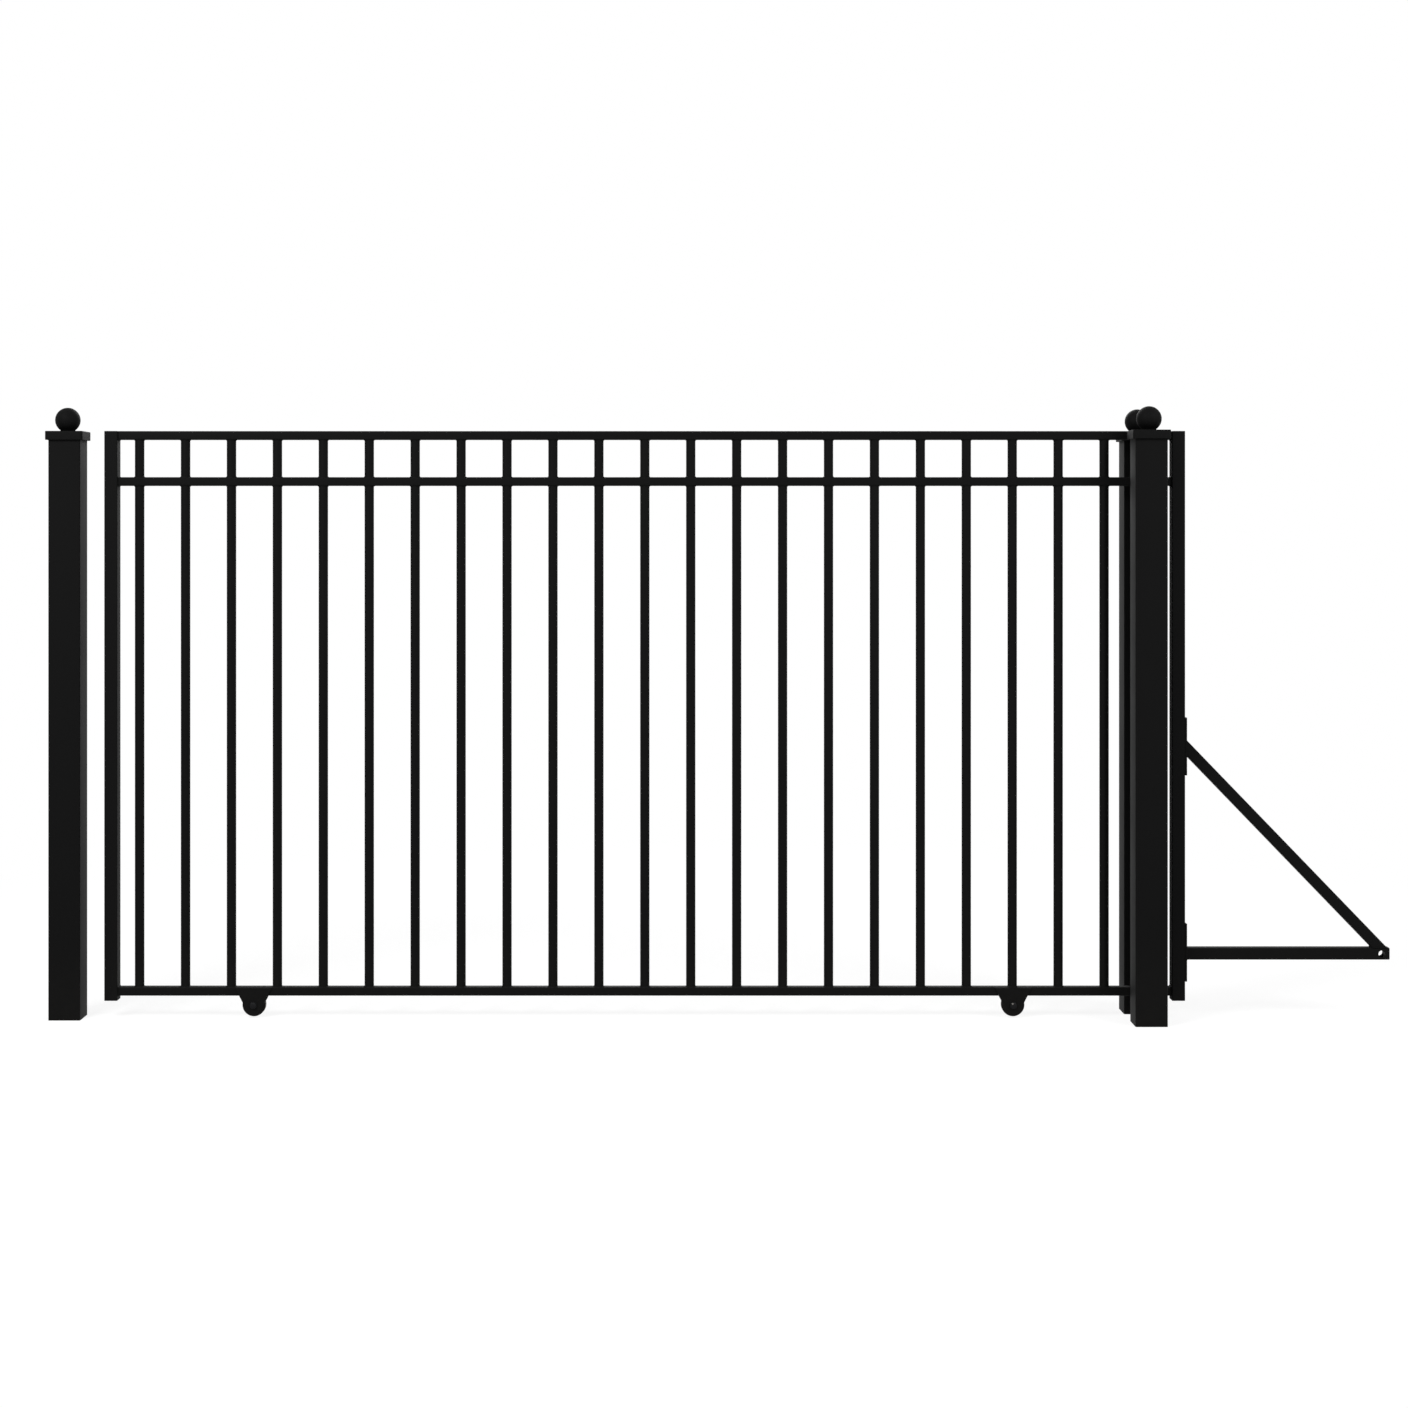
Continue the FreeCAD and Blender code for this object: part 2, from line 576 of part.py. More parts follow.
def draw_ear(sketch):
    """A top edge and two slanting sides that run into a round nose about the sketch's origin."""
    half_top = value("ear_top_width") / 2
    top = value("ear_top")
    nose = value("ear_nose")
    left = FreeCAD.Vector(-half_top, top, 0)
    right = FreeCAD.Vector(half_top, top, 0)
    low_left = FreeCAD.Vector(-nose, 0, 0)
    low_right = FreeCAD.Vector(nose, 0, 0)
    edge = sketch.addGeometry(Part.LineSegment(left, right), False)
    down = sketch.addGeometry(Part.LineSegment(right, low_right), False)
    bend = sketch.addGeometry(Part.Arc(low_left, FreeCAD.Vector(0, -nose, 0), low_right), False)
    up = sketch.addGeometry(Part.LineSegment(low_left, left), False)
    sketch.addConstraint(Sketcher.Constraint("Coincident", bend, 3, -1, 1))
    sketch.addConstraint(Sketcher.Constraint("Coincident", edge, 2, down, 1))
    sketch.addConstraint(Sketcher.Constraint("Coincident", up, 2, edge, 1))
    sketch.addConstraint(Sketcher.Constraint("Tangent", down, 2, bend, 2))
    sketch.addConstraint(Sketcher.Constraint("Tangent", bend, 1, up, 1))
    sketch.addConstraint(Sketcher.Constraint("Symmetric", edge, 1, edge, 2, -2))
    hold(sketch, "Radius", bend, size="ear_nose")
    hold(sketch, "DistanceX", edge, 1, edge, 2, size="ear_top_width")
    hold(sketch, "DistanceY", -1, 1, edge, 1, size="ear_top")


# Bolts: a hexagon head, a plain shank and a hexagon nut on one axis, head at the start
def add_hexagon(name, corners, height, axis, **where):
    prism = doc.addObject("Part::Prism", name)
    prism.Polygon = HEXAGON_SIDES
    bind(prism, Circumradius=corners, Height=height)
    prism.Placement.Rotation = FreeCAD.Rotation(FreeCAD.Vector(0, 0, 1), axis)
    place(prism, **where)
    return prism


def add_shank(name, radius, length, axis, **where):
    shank = doc.addObject("Part::Cylinder", name)
    bind(shank, Radius=radius, Height=length)
    shank.Placement.Rotation = FreeCAD.Rotation(FreeCAD.Vector(0, 0, 1), axis)
    place(shank, **where)
    return shank


def make_axle(label, axle):
    across = FreeCAD.Vector(0, 1, 0)
    middle = dict(x=axle, z="axle_rise")
    head = add_hexagon(f"{label}_head", "axle_corners", "axle_head", across, y="-axle_front", **middle)
    shank = add_shank(f"{label}_shank", "axle_radius", "axle_length", across, y="-axle_front", **middle)
    nut = add_hexagon(f"{label}_nut", "axle_corners", "axle_nut", across, y="ear_outer_face", **middle)
    return fuse(label, [head, shank, nut])


# Tail: two plates on the trailing upright, a bar along the ground and a brace down to its end
def make_plate(label, base):
    plate = doc.addObject("Part::Box", label)
    plate.Label = label
    bind(plate, Length="plate_thickness", Width="upright_depth", Height="plate_height")
    plate.setExpression("Placement.Base.y", "-sizes.upright_depth / 2")
    place(plate, "leaf_trail", None, base)
    return plate


def make_tail_bar(label):
    body = new_body(label)
    section = new_sketch(body, "section", "YZ_Plane")
    draw_tube_outline(section, "tail_width", "tail_width", "tail_corner")
    draw_tube_outline(section, "tail_bore", "tail_bore", "tail_bore_corner")
    pad(body, section, "tail_length")
    hole = new_sketch(body, "chain_hole", "XZ_Plane")
    draw_circle(hole, "chain_hole_diameter", across="chain_hole_place")
    cut_through(body, hole)
    place(body, "tail_start", None, "tail_rise")
    return body


def make_brace(label):
    body = new_body(label)
    outside = new_sketch(body, "outside", "XZ_Plane")
    draw_outline(outside, (
        (None, "brace_head_low"), ("brace_foot_near", None),
        ("brace_foot_far", None), (None, "brace_head_high"),
    ))
    pad(body, outside, "brace_width", symmetric=True)
    inside = new_sketch(body, "inside", "XZ_Plane")
    draw_outline(inside, (
        (None, "brace_bore_low"), ("brace_bore_near", None),
        ("brace_bore_far", None), (None, "brace_bore_high"),
    ))
    pocket(body, inside, "brace_bore", symmetric=True)
    place(body, "tail_start", None, "tail_top")
    return body


# Guides: on each guide post a bent bracket carries a roller on a pin beside the top rail
def make_bracket(label, side):
    body = new_body(label)
    profile = new_sketch(body, "profile", "YZ_Plane")
    draw_outline(profile, (
        ("bracket_tip", None), ("bracket_tip", "-bracket_thickness"),
        ("bracket_inner_face", "-bracket_thickness"), ("bracket_inner_face", "-bracket_drop"),
        ("bracket_reach", "-bracket_drop"), ("bracket_reach", None),
    ))
    bent = pad(body, profile, "bracket_width", symmetric=True)
    doc.recompute()
    round_edge(body, bent, "bracket_bend", value("bracket_inner_face"), -value("bracket_thickness"))
    round_edge(body, body.Tip, "bracket_outer_bend", value("bracket_reach"), 0)
    hole = new_sketch(body, "pin_hole", "XY_Plane")
    draw_circle(hole, "pin_diameter", up="roller_axis")
    cut_through(body, hole)
    stand_on_side(body, side)
    return body


def round_edge(body, base, radius, y, z):
    """Rounds the edge of the base that runs along X through the given point."""
    for index, edge in enumerate(base.Shape.Edges, 1):
        ends = [vertex.Point for vertex in edge.Vertexes]
        if all(abs(end.y - y) < EDGE_TOLERANCE and abs(end.z - z) < EDGE_TOLERANCE for end in ends):
            bend = body.newObject("PartDesign::Fillet", f"{body.Label}_{radius}")
            bend.Base = (base, [f"Edge{index}"])
            bind(bend, Radius=radius)
            doc.recompute()
            return


def stand_on_side(thing, side):
    """Puts a guide piece at the guide posts, turned to face the leaf from its own side."""
    turn = 0 if side == "rear" else HALF_TURN
    thing.Placement.Rotation = FreeCAD.Rotation(FreeCAD.Vector(0, 0, 1), turn)
    place(thing, "guide_post_reach", None, "bracket_top")


def make_roller(label, side):
    body = new_body(label)
    profile = new_sketch(body, "profile", "XZ_Plane")
    draw_outline(profile, (
        ("roller_bore", "roller_clearance"), ("roller_hub_radius", "roller_clearance"),
        ("roller_hub_radius", "roller_base"), ("roller_radius", "roller_base"),
        ("roller_radius", "roller_top"), ("roller_bore", "roller_top"),
    ))
    revolve(body, profile)
    place(body, "guide_post_reach", side + "roller_axis", "bracket_top")
    return body


def make_pin(label, side):
    up = FreeCAD.Vector(0, 0, 1)
    head = add_hexagon(f"{label}_head", "pin_corners", "pin_head", up)
    shank = add_shank(f"{label}_shank", "pin_radius", "pin_length", up)
    nut = add_hexagon(f"{label}_nut", "pin_corners", "pin_head", up)
    for piece, base in ((head, "pin_head_base"), (shank, "pin_foot"), (nut, "pin_nut_base")):
        place(piece, "guide_post_reach", side + "roller_axis")
        piece.setExpression("Placement.Base.z", f"sizes.bracket_top + sizes.{base}")
    return fuse(label, [head, shank, nut])


# The gate, from the posts to the tail
def make_gate():
    bottom_rail = make_rail("bottom_rail", "bottom_rail_axis")
    notch_for_wheels(bottom_rail)
    nodes = [
        make_post("latch_post"),
        make_post("front_guide_post", "guide_post_reach", "-guide_post_offset"),
        make_post("rear_guide_post", "guide_post_reach", "guide_post_offset"),
        gather("post_caps", [
            make_cap("latch_cap"),
            make_cap("front_guide_cap", "guide_post_reach", "-guide_post_offset"),
            make_cap("rear_guide_cap", "guide_post_reach", "guide_post_offset"),
        ]),
        make_upright("leading_upright", "leading_upright_axis"),
        make_upright("trailing_upright", "trailing_upright_axis"),
        make_rail("top_rail", "top_rail_axis"),
        make_rail("middle_rail", "middle_rail_axis"),
        bottom_rail,
        make_pickets("upper_pickets", "middle_rail_top", "rail_gap"),
        make_pickets("lower_pickets", "bottom_rail_top", "lower_picket_length"),
    ]
    plugs = []
    for end in ("leading", "trailing"):
        axis = f"{end}_upright_axis"
        shape = ("XY_Plane", UPRIGHT_HEAD, UPRIGHT_LEG, axis)
        plugs.append(make_plug(f"{end}_top_plug", *shape, "upright_cut_top"))
        plugs.append(make_plug(f"{end}_foot_plug", *shape, "upright_base", head_down=True))
        nodes.append(make_ears(f"{end}_wheel_bracket", f"{end}_axle"))
        nodes.append(make_axle(f"{end}_wheel_axle", f"{end}_axle"))
        nodes.append(make_wheel(f"{end}_wheel", f"{end}_axle"))
    nodes.append(gather("upright_end_plugs", plugs))
    nodes.append(make_plate("tail_upper_plate", "plate_base_upper"))
    nodes.append(make_plate("tail_lower_plate", "plate_base_lower"))
    nodes.append(make_tail_bar("tail_bar"))
    nodes.append(make_brace("tail_brace"))
    nodes.append(make_plug("tail_end_plug", "YZ_Plane", TAIL_HEAD, TAIL_LEG, "tail_cut_end", "tail_rise"))
    for side, sign in (("front", "-"), ("rear", "")):
        nodes.append(make_bracket(f"{side}_guide_bracket", side))
        nodes.append(make_roller(f"{side}_guide_roller", sign))
        nodes.append(make_pin(f"{side}_guide_pin", sign))
    return nodes


def check_document():
    for thing in doc.Objects:
        if "Invalid" in thing.State or "Error" in thing.State:
            raise RuntimeError(f"{thing.Label} failed: {thing.State}")


def check_shape(node):
    if node.Shape.isNull() or not node.Shape.isValid():
        raise RuntimeError(f"{node.Label} has no valid shape")


gate_nodes = make_gate()
doc.recompute()
check_document()
for node in gate_nodes:
    check_shape(node)
os.makedirs("parts", exist_ok=True)
for node in gate_nodes:
    node.Shape.exportStep(f"parts/{node.Label}.step")
    print(node.Label, len(node.Shape.Solids), "solids", round(node.Shape.Volume), "mm3")
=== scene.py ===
# %% [markdown]
# A sliding driveway gate is mostly stock tube: square posts, a leaf of rails and round pickets, and
# a braced tail. The CAD model already holds every tube at its real size, so this lesson doesn't
# model the gate again. It loads the imported parts as a fixed frame, gives each one its finish, and
# builds the pieces that need more shape than the CAD gave them: pickets, ball caps, wheels,
# bolts, plugs and welds.

# %% Load the imported frame
import json
import math

import bmesh
import bpy
from mathutils import Matrix, Vector


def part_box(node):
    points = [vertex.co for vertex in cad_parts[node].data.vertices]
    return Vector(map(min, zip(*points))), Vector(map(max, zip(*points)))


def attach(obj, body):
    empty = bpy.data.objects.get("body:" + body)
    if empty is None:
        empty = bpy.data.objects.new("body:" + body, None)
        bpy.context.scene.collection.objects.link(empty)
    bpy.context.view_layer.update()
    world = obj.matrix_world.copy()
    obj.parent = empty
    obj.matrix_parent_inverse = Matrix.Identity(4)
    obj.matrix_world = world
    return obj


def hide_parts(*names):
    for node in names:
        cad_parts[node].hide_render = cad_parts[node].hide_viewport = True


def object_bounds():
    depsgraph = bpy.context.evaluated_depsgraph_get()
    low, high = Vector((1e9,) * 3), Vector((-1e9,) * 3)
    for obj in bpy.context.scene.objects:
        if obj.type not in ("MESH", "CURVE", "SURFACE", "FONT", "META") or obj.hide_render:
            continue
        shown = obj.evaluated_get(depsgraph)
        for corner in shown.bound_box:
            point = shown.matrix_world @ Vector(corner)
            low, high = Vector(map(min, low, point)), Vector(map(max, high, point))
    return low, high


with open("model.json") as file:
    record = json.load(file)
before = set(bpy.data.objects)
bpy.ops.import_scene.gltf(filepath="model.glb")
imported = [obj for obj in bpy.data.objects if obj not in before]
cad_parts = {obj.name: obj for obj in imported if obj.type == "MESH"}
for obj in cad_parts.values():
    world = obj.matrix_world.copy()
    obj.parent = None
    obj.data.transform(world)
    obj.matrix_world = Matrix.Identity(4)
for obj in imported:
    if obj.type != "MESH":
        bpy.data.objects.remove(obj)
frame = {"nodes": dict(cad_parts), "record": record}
cad_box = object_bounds()
print("CAD nodes:", len(frame["nodes"]), "box:", [tuple(corner) for corner in cad_box])

# %% [markdown]
# The photograph was taken square to the gate, close to its middle and at eye level, so the camera
# stands level and looks along +Y. A new camera looks straight down, and a quarter turn brings it
# level. Lines that run away from the camera meet at one point of the picture. That point isn't the
# middle of the picture, which in Blender is the camera's shift. Eye, focal length and meeting point
# were fitted together to the edges of the posts, rails and pickets.

# %% Set the camera from the photograph
IMAGE_SIDE_PX = 1408
FOCAL_LENGTH_PX = 2552.4
MEETING_POINT_PX = (687.6, 530.8)
SENSOR_MM = 36
EYE = Vector((1.9945, -8.2147, 1.5666))
QUARTER_TURN = math.pi / 2

scene = bpy.context.scene
camera_data = bpy.data.cameras.new("photo_camera")
camera_data.sensor_width = SENSOR_MM
camera_data.lens = FOCAL_LENGTH_PX / IMAGE_SIDE_PX * SENSOR_MM
camera_data.shift_x = (IMAGE_SIDE_PX / 2 - MEETING_POINT_PX[0]) / IMAGE_SIDE_PX
camera_data.shift_y = (MEETING_POINT_PX[1] - IMAGE_SIDE_PX / 2) / IMAGE_SIDE_PX
camera = bpy.data.objects.new("photo_camera", camera_data)
camera.location = EYE
camera.rotation_euler = (QUARTER_TURN, 0, 0)
scene.collection.objects.link(camera)
scene.camera = camera
scene.view_settings.view_transform = "Standard"
print(f"lens {camera_data.lens:.2f} mm, shift {camera_data.shift_x:.4f} {camera_data.shift_y:.4f}")

# %% [markdown]
# Every finish below is a small graph of shader nodes. Three helpers keep them readable: one turns
# the sRGB hex value that a colour picker shows into the linear values that Cycles works with, one
# adds a node with its settings, its fixed inputs and its links in a single call, and one starts a
# material.

# %% Helpers for colours and nodes
MM = 0.001
SRGB_STEPS = 255
SRGB_LINE_END = 0.04045
SRGB_LINE_SLOPE = 12.92
SRGB_OFFSET = 0.055
SRGB_POWER = 2.4


def linear(hex_colour):
    """The linear colour, with alpha, of an sRGB hex value such as #050505."""
    channels = []
    for start in (1, 3, 5):
        value = int(hex_colour[start:start + 2], 16) / SRGB_STEPS
        if value <= SRGB_LINE_END:
            channels.append(value / SRGB_LINE_SLOPE)
        else:
            channels.append(((value + SRGB_OFFSET) / (1 + SRGB_OFFSET)) ** SRGB_POWER)
    return (*channels, 1.0)


def add(tree, kind, inputs=None, **settings):
    """Adds a node. An input, by name or number, takes a value, another node's output, or that node
    itself, which stands for the first of its outputs that is in use."""
    node = tree.nodes.new(kind)
    for name, value in settings.items():
        setattr(node, name, value)
    for name, value in (inputs or {}).items():
        if isinstance(value, bpy.types.Node):
            value = next(output for output in value.outputs if output.enabled)
        if isinstance(value, bpy.types.NodeSocket):
            tree.links.new(value, node.inputs[name])
        else:
            node.inputs[name].default_value = value
    return node


def new_material(name):
    """An empty material, its node tree, and the place of a point in the object's own frame."""
    material = bpy.data.materials.new(name)
    material.use_nodes = True
    tree = material.node_tree
    tree.nodes.clear()
    return material, tree, add(tree, "ShaderNodeTexCoord").outputs["Object"]


print("the coat's black in linear light:", [round(channel, 5) for channel in linear("#050505")])

# %% [markdown]
# The background of the photograph is plain white, and so is the floor. A white world would flood
# the black gate with light if its strength did both jobs, so Light Path splits it: the camera and
# mirror-like rays see white at strength 1, and the light that falls on surfaces is a softer studio
# level.

# %% White surround with a softer light of its own
ROOM_LIGHT = 0.5
WHITE_SEEN = 1.0


def seen_directly(tree):
    """1 for rays of camera, mirror or clear glass, and 0 for light that falls on a surface."""
    rays = add(tree, "ShaderNodeLightPath")
    seen = rays.outputs["Is Camera Ray"]
    for kind in ("Is Glossy Ray", "Is Transmission Ray"):
        seen = add(tree, "ShaderNodeMath", {0: seen, 1: rays.outputs[kind]}, operation="MAXIMUM")
    return seen


world = bpy.data.worlds.new("white_studio")
scene.world = world
world.use_nodes = True
tree = world.node_tree
tree.nodes.clear()
lit = add(tree, "ShaderNodeBackground", {"Color": linear("#ffffff"), "Strength": ROOM_LIGHT})
white = add(tree, "ShaderNodeBackground", {"Color": linear("#ffffff"), "Strength": WHITE_SEEN})
mixed = add(tree, "ShaderNodeMixShader", {0: seen_directly(tree), 1: lit, 2: white})
add(tree, "ShaderNodeOutputWorld", {"Surface": mixed})
print("world:", world.name, "room light", ROOM_LIGHT)

# %% [markdown]
# The floor runs into the background without a line, as a paper sweep does. Most of what the camera
# sees on it is a white glow of strength 1, and the rest is matt paper, which keeps a faint shadow
# under the gate, so the posts stand on something. The paper's share fades out with distance from
# the gate.

# %% Floor
FLOOR_HALF = 40.0
FLOOR_GLOW = 0.86
PAPER_REACH = (2.6, 4.6)

middle = (cad_box[0] + cad_box[1]) / 2

material, tree, place = new_material("matt_paper_sweep")
away = add(tree, "ShaderNodeVectorMath", {0: place}, operation="LENGTH")
glow_here = add(tree, "ShaderNodeMapRange", {
    "Value": away, "From Min": PAPER_REACH[0], "From Max": PAPER_REACH[1],
    "To Min": FLOOR_GLOW, "To Max": 1.0,
}, interpolation_type="SMOOTHSTEP")
share = add(tree, "ShaderNodeMath", {0: seen_directly(tree), 1: glow_here}, operation="MULTIPLY")
paper = add(tree, "ShaderNodeBsdfDiffuse", {"Color": linear("#f2f2f2"), "Roughness": 1.0})
glow = add(tree, "ShaderNodeEmission", {"Color": linear("#ffffff"), "Strength": WHITE_SEEN})
mixed = add(tree, "ShaderNodeMixShader", {0: share, 1: paper, 2: glow})
add(tree, "ShaderNodeOutputMaterial", {"Surface": mixed})

corners = [(x * FLOOR_HALF, y * FLOOR_HALF, 0) for x, y in ((-1, -1), (1, -1), (1, 1), (-1, 1))]
floor_mesh = bpy.data.meshes.new("floor")
floor_mesh.from_pydata(corners, [], [(0, 1, 2, 3)])
floor_mesh.materials.append(material)
floor = bpy.data.objects.new("floor", floor_mesh)
floor.location.x = middle.x
scene.collection.objects.link(floor)
print("floor", 2 * FLOOR_HALF, "m wide")

# %% [markdown]
# Three large soft lamps stand in for studio softboxes, two in front and one behind. On black steel
# almost all of the light that the eye gets is reflection, so the lamps are what draws the round of
# a picket or the edge of a post.

# %% Softboxes
SOFTBOXES = {
    "key_softbox": ((-1.8, -5.0, 5.2), 3.0, 420),
    "fill_softbox": ((6.6, -3.6, 4.2), 3.0, 220),
    "rear_softbox": ((2.0, 5.5, 4.6), 3.5, 260),
}
for name, (place, width, watts) in SOFTBOXES.items():
    lamp_data = bpy.data.lights.new(name, "AREA")
    lamp_data.shape = "DISK"
    lamp_data.size = width
    lamp_data.energy = watts
    lamp = bpy.data.objects.new(name, lamp_data)
    lamp.location = place
    lamp.rotation_mode = "QUATERNION"
    lamp.rotation_quaternion = (middle - lamp.location).to_track_quat("-Z", "Y")
    scene.collection.objects.link(lamp)
print("softboxes:", len(SOFTBOXES))

# %% [markdown]
# Satin black polyester powder coat covers all the tube. It is sprayed dry and baked, so it flows
# into a skin with a fine orange peel, about 2.5 mm from dimple to dimple. That gives the eye a deep
# black with a soft, slightly broken sheen. A drawn-out mottle in the roughness keeps long tubes
# from looking printed. Noise makes both, because it has no seams where one tube meets the next.

# %% Satin powder coat
PEEL = 2.5 * MM
MOTTLE = 140 * MM

satin_powder_coat, tree, place = new_material("satin_black_powder_coat")
peel = add(tree, "ShaderNodeTexNoise", {"Vector": place, "Scale": 1 / PEEL, "Detail": 2.0})
bump = add(tree, "ShaderNodeBump", {"Height": peel, "Strength": 0.18, "Distance": 0.1 * MM})
mottle = add(tree, "ShaderNodeTexNoise", {"Vector": place, "Scale": 1 / MOTTLE, "Detail": 3.0})
satin = add(tree, "ShaderNodeMapRange", {"Value": mottle, "To Min": 0.56, "To Max": 0.7})
coat = add(tree, "ShaderNodeMix", {
    "Factor": mottle, "A": linear("#050505"), "B": linear("#080808"),
}, data_type="RGBA")
print(satin_powder_coat.name, "peel scale", round(1 / PEEL))

# %% [markdown]
# Two marks of use lie on that coat. The guide rollers have polished a band along both faces of the
# top rail, and the lowest part of the gate carries a little road dust. They could be painted by
# hand, but both follow from where a point is: the band from its height and its depth, the dust from
# its height.

# %% Roller band and road dust
ROLLER_BAND = (7 * MM, 11 * MM)
RAIL_FACE_SLACK = 0.4 * MM
POLISHED = 0.4
DUST_TOP = 260 * MM
DUST_MOST = 0.5
DUST_GRAIN = 22 * MM


def box_of(node):
    """The low and high corner of a CAD node's box, its middle and half of its size."""
    low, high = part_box(node)
    return low, high, (low + high) / 2, (high - low) / 2


_, _, rail_centre, rail_half = box_of("top_rail")
parts = add(tree, "ShaderNodeSeparateXYZ", {"Vector": place})
above = add(tree, "ShaderNodeMath", {0: parts.outputs["Z"], 1: rail_centre.z}, operation="SUBTRACT")
off_track = add(tree, "ShaderNodeMath", {0: above}, operation="ABSOLUTE")
band = add(tree, "ShaderNodeMapRange", {
    "Value": off_track, "From Min": ROLLER_BAND[0], "From Max": ROLLER_BAND[1],
    "To Min": 1.0, "To Max": 0.0,
})
depth = add(tree, "ShaderNodeMath", {0: parts.outputs["Y"]}, operation="ABSOLUTE")
on_rail = add(tree, "ShaderNodeMath", {
    0: depth, 1: rail_half.y, 2: RAIL_FACE_SLACK,
}, operation="COMPARE")
polish = add(tree, "ShaderNodeMath", {0: band, 1: on_rail}, operation="MULTIPLY")
rough = add(tree, "ShaderNodeMix", {"Factor": polish, "A": satin, "B": POLISHED})
low = add(tree, "ShaderNodeMapRange", {
    "Value": parts.outputs["Z"], "From Min": DUST_TOP, "From Max": 0.0,
    "To Min": 0.0, "To Max": DUST_MOST,
})
grain = add(tree, "ShaderNodeTexNoise", {"Vector": place, "Scale": 1 / DUST_GRAIN, "Detail": 4.0})
dust = add(tree, "ShaderNodeMath", {0: low, 1: grain}, operation="MULTIPLY")
colour = add(tree, "ShaderNodeMix", {
    "Factor": dust, "A": coat, "B": linear("#141311"),
}, data_type="RGBA")
surface = add(tree, "ShaderNodeBsdfPrincipled", {
    "Base Color": colour, "Roughness": rough, "Normal": bump, "Specular IOR Level": 0.06,
})
add(tree, "ShaderNodeOutputMaterial", {"Surface": surface})
print(f"roller band {rail_centre.z:.3f} m up, dust to {DUST_TOP:.2f} m")

# %% [markdown]
# The post caps are castings under the same paint. Sand leaves a grain of about a millimetre, and
# paint only softens it. At this distance that is finer than a pixel, so the grain is drawn at 4 mm
# to show, over shallow hollows 11 mm apart. It breaks the highlight on the ball into a duller,
# wider one than the tubes have.

# %% Powder coat on a casting
SAND_GRAIN = 4 * MM
HOLLOW = 11 * MM

cast_powder_coat, tree, place = new_material("black_powder_coat_on_sand_casting")
sand = add(tree, "ShaderNodeTexNoise", {"Vector": place, "Scale": 1 / SAND_GRAIN, "Detail": 3.0})
hollows = add(tree, "ShaderNodeTexVoronoi", {
    "Vector": place, "Scale": 1 / HOLLOW,
}, feature="SMOOTH_F1")
relief = add(tree, "ShaderNodeMath", {0: sand, 1: hollows}, operation="ADD")
bump = add(tree, "ShaderNodeBump", {"Height": relief, "Strength": 0.3, "Distance": 0.25 * MM})
rough = add(tree, "ShaderNodeMapRange", {"Value": sand, "To Min": 0.6, "To Max": 0.76})
colour = add(tree, "ShaderNodeMix", {
    "Factor": hollows, "A": linear("#050505"), "B": linear("#080808"),
}, data_type="RGBA")
surface = add(tree, "ShaderNodeBsdfPrincipled", {
    "Base Color": colour, "Roughness": rough, "Normal": bump, "Specular IOR Level": 0.06,
})
add(tree, "ShaderNodeOutputMaterial", {"Surface": surface})
print(cast_powder_coat.name, "grain scale", round(1 / SAND_GRAIN))

# %% [markdown]
# The wheels are turned from steel bar and blackened in an oxide bath, which leaves the rings of the
# lathe tool in view. Real ones are about 0.2 mm apart. They are drawn at 1.4 mm, so that the eye
# gets a dark metal with a grooved shine. The track has rubbed the flanks of the groove bright.
# Rings follow from a point's distance to the axle, and the bright band from its place across the
# rim.

# %% Blackened turned steel
TOOL_FEED = 1.4 * MM
GROOVE_HALF = 7.6 * MM
GROOVE_FADE = 2 * MM
GROOVE_START = 28 * MM
STAIN = 9 * MM
# A wave texture of scale 1 has this many waves in a metre
WAVES_PER_METRE = 20 / math.tau

turned_steel, tree, place = new_material("black_oxide_turned_steel")
rings = add(tree, "ShaderNodeTexWave", {
    "Vector": place, "Scale": 1 / (TOOL_FEED * WAVES_PER_METRE),
    "Distortion": 0.4, "Detail": 1.0,
}, wave_type="RINGS", rings_direction="Y")
bump = add(tree, "ShaderNodeBump", {"Height": rings, "Strength": 0.15, "Distance": 0.08 * MM})
parts = add(tree, "ShaderNodeSeparateXYZ", {"Vector": place})
flat = add(tree, "ShaderNodeCombineXYZ", {"X": parts.outputs["X"], "Z": parts.outputs["Z"]})
radius = add(tree, "ShaderNodeVectorMath", {0: flat}, operation="LENGTH")
across = add(tree, "ShaderNodeMath", {0: parts.outputs["Y"]}, operation="ABSOLUTE")
inside = add(tree, "ShaderNodeMapRange", {
    "Value": across, "From Min": GROOVE_HALF, "From Max": GROOVE_HALF - GROOVE_FADE,
})
outer = add(tree, "ShaderNodeMath", {0: radius, 1: GROOVE_START}, operation="GREATER_THAN")
rubbed = add(tree, "ShaderNodeMath", {0: inside, 1: outer}, operation="MULTIPLY")
stain = add(tree, "ShaderNodeTexNoise", {"Vector": place, "Scale": 1 / STAIN, "Detail": 4.0})
oxide = add(tree, "ShaderNodeMix", {
    "Factor": stain, "A": linear("#131314"), "B": linear("#211f1e"),
}, data_type="RGBA")
colour = add(tree, "ShaderNodeMix", {
    "Factor": rubbed, "A": oxide, "B": linear("#6f6c68"),
}, data_type="RGBA")
rough = add(tree, "ShaderNodeMapRange", {"Value": rubbed, "To Min": 0.52, "To Max": 0.3})
surface = add(tree, "ShaderNodeBsdfPrincipled", {
    "Base Color": colour, "Roughness": rough, "Normal": bump, "Metallic": 1.0,
})
add(tree, "ShaderNodeOutputMaterial", {"Surface": surface})
print(turned_steel.name, f"rings {TOOL_FEED / MM:.1f} mm apart")

# %% [markdown]
# Bolts, nuts and washers are cold-headed steel with a black zinc plate. The plate is thin and matt,
# with cloudy patches where it has begun to dull, so the eye gets a dark metal rather than a paint.
# One cloud pattern decides colour, roughness and relief together. Three finishes further on work in
# the same way, so a function adds those nodes.

# %% Black zinc plate
CLOUD = 5 * MM


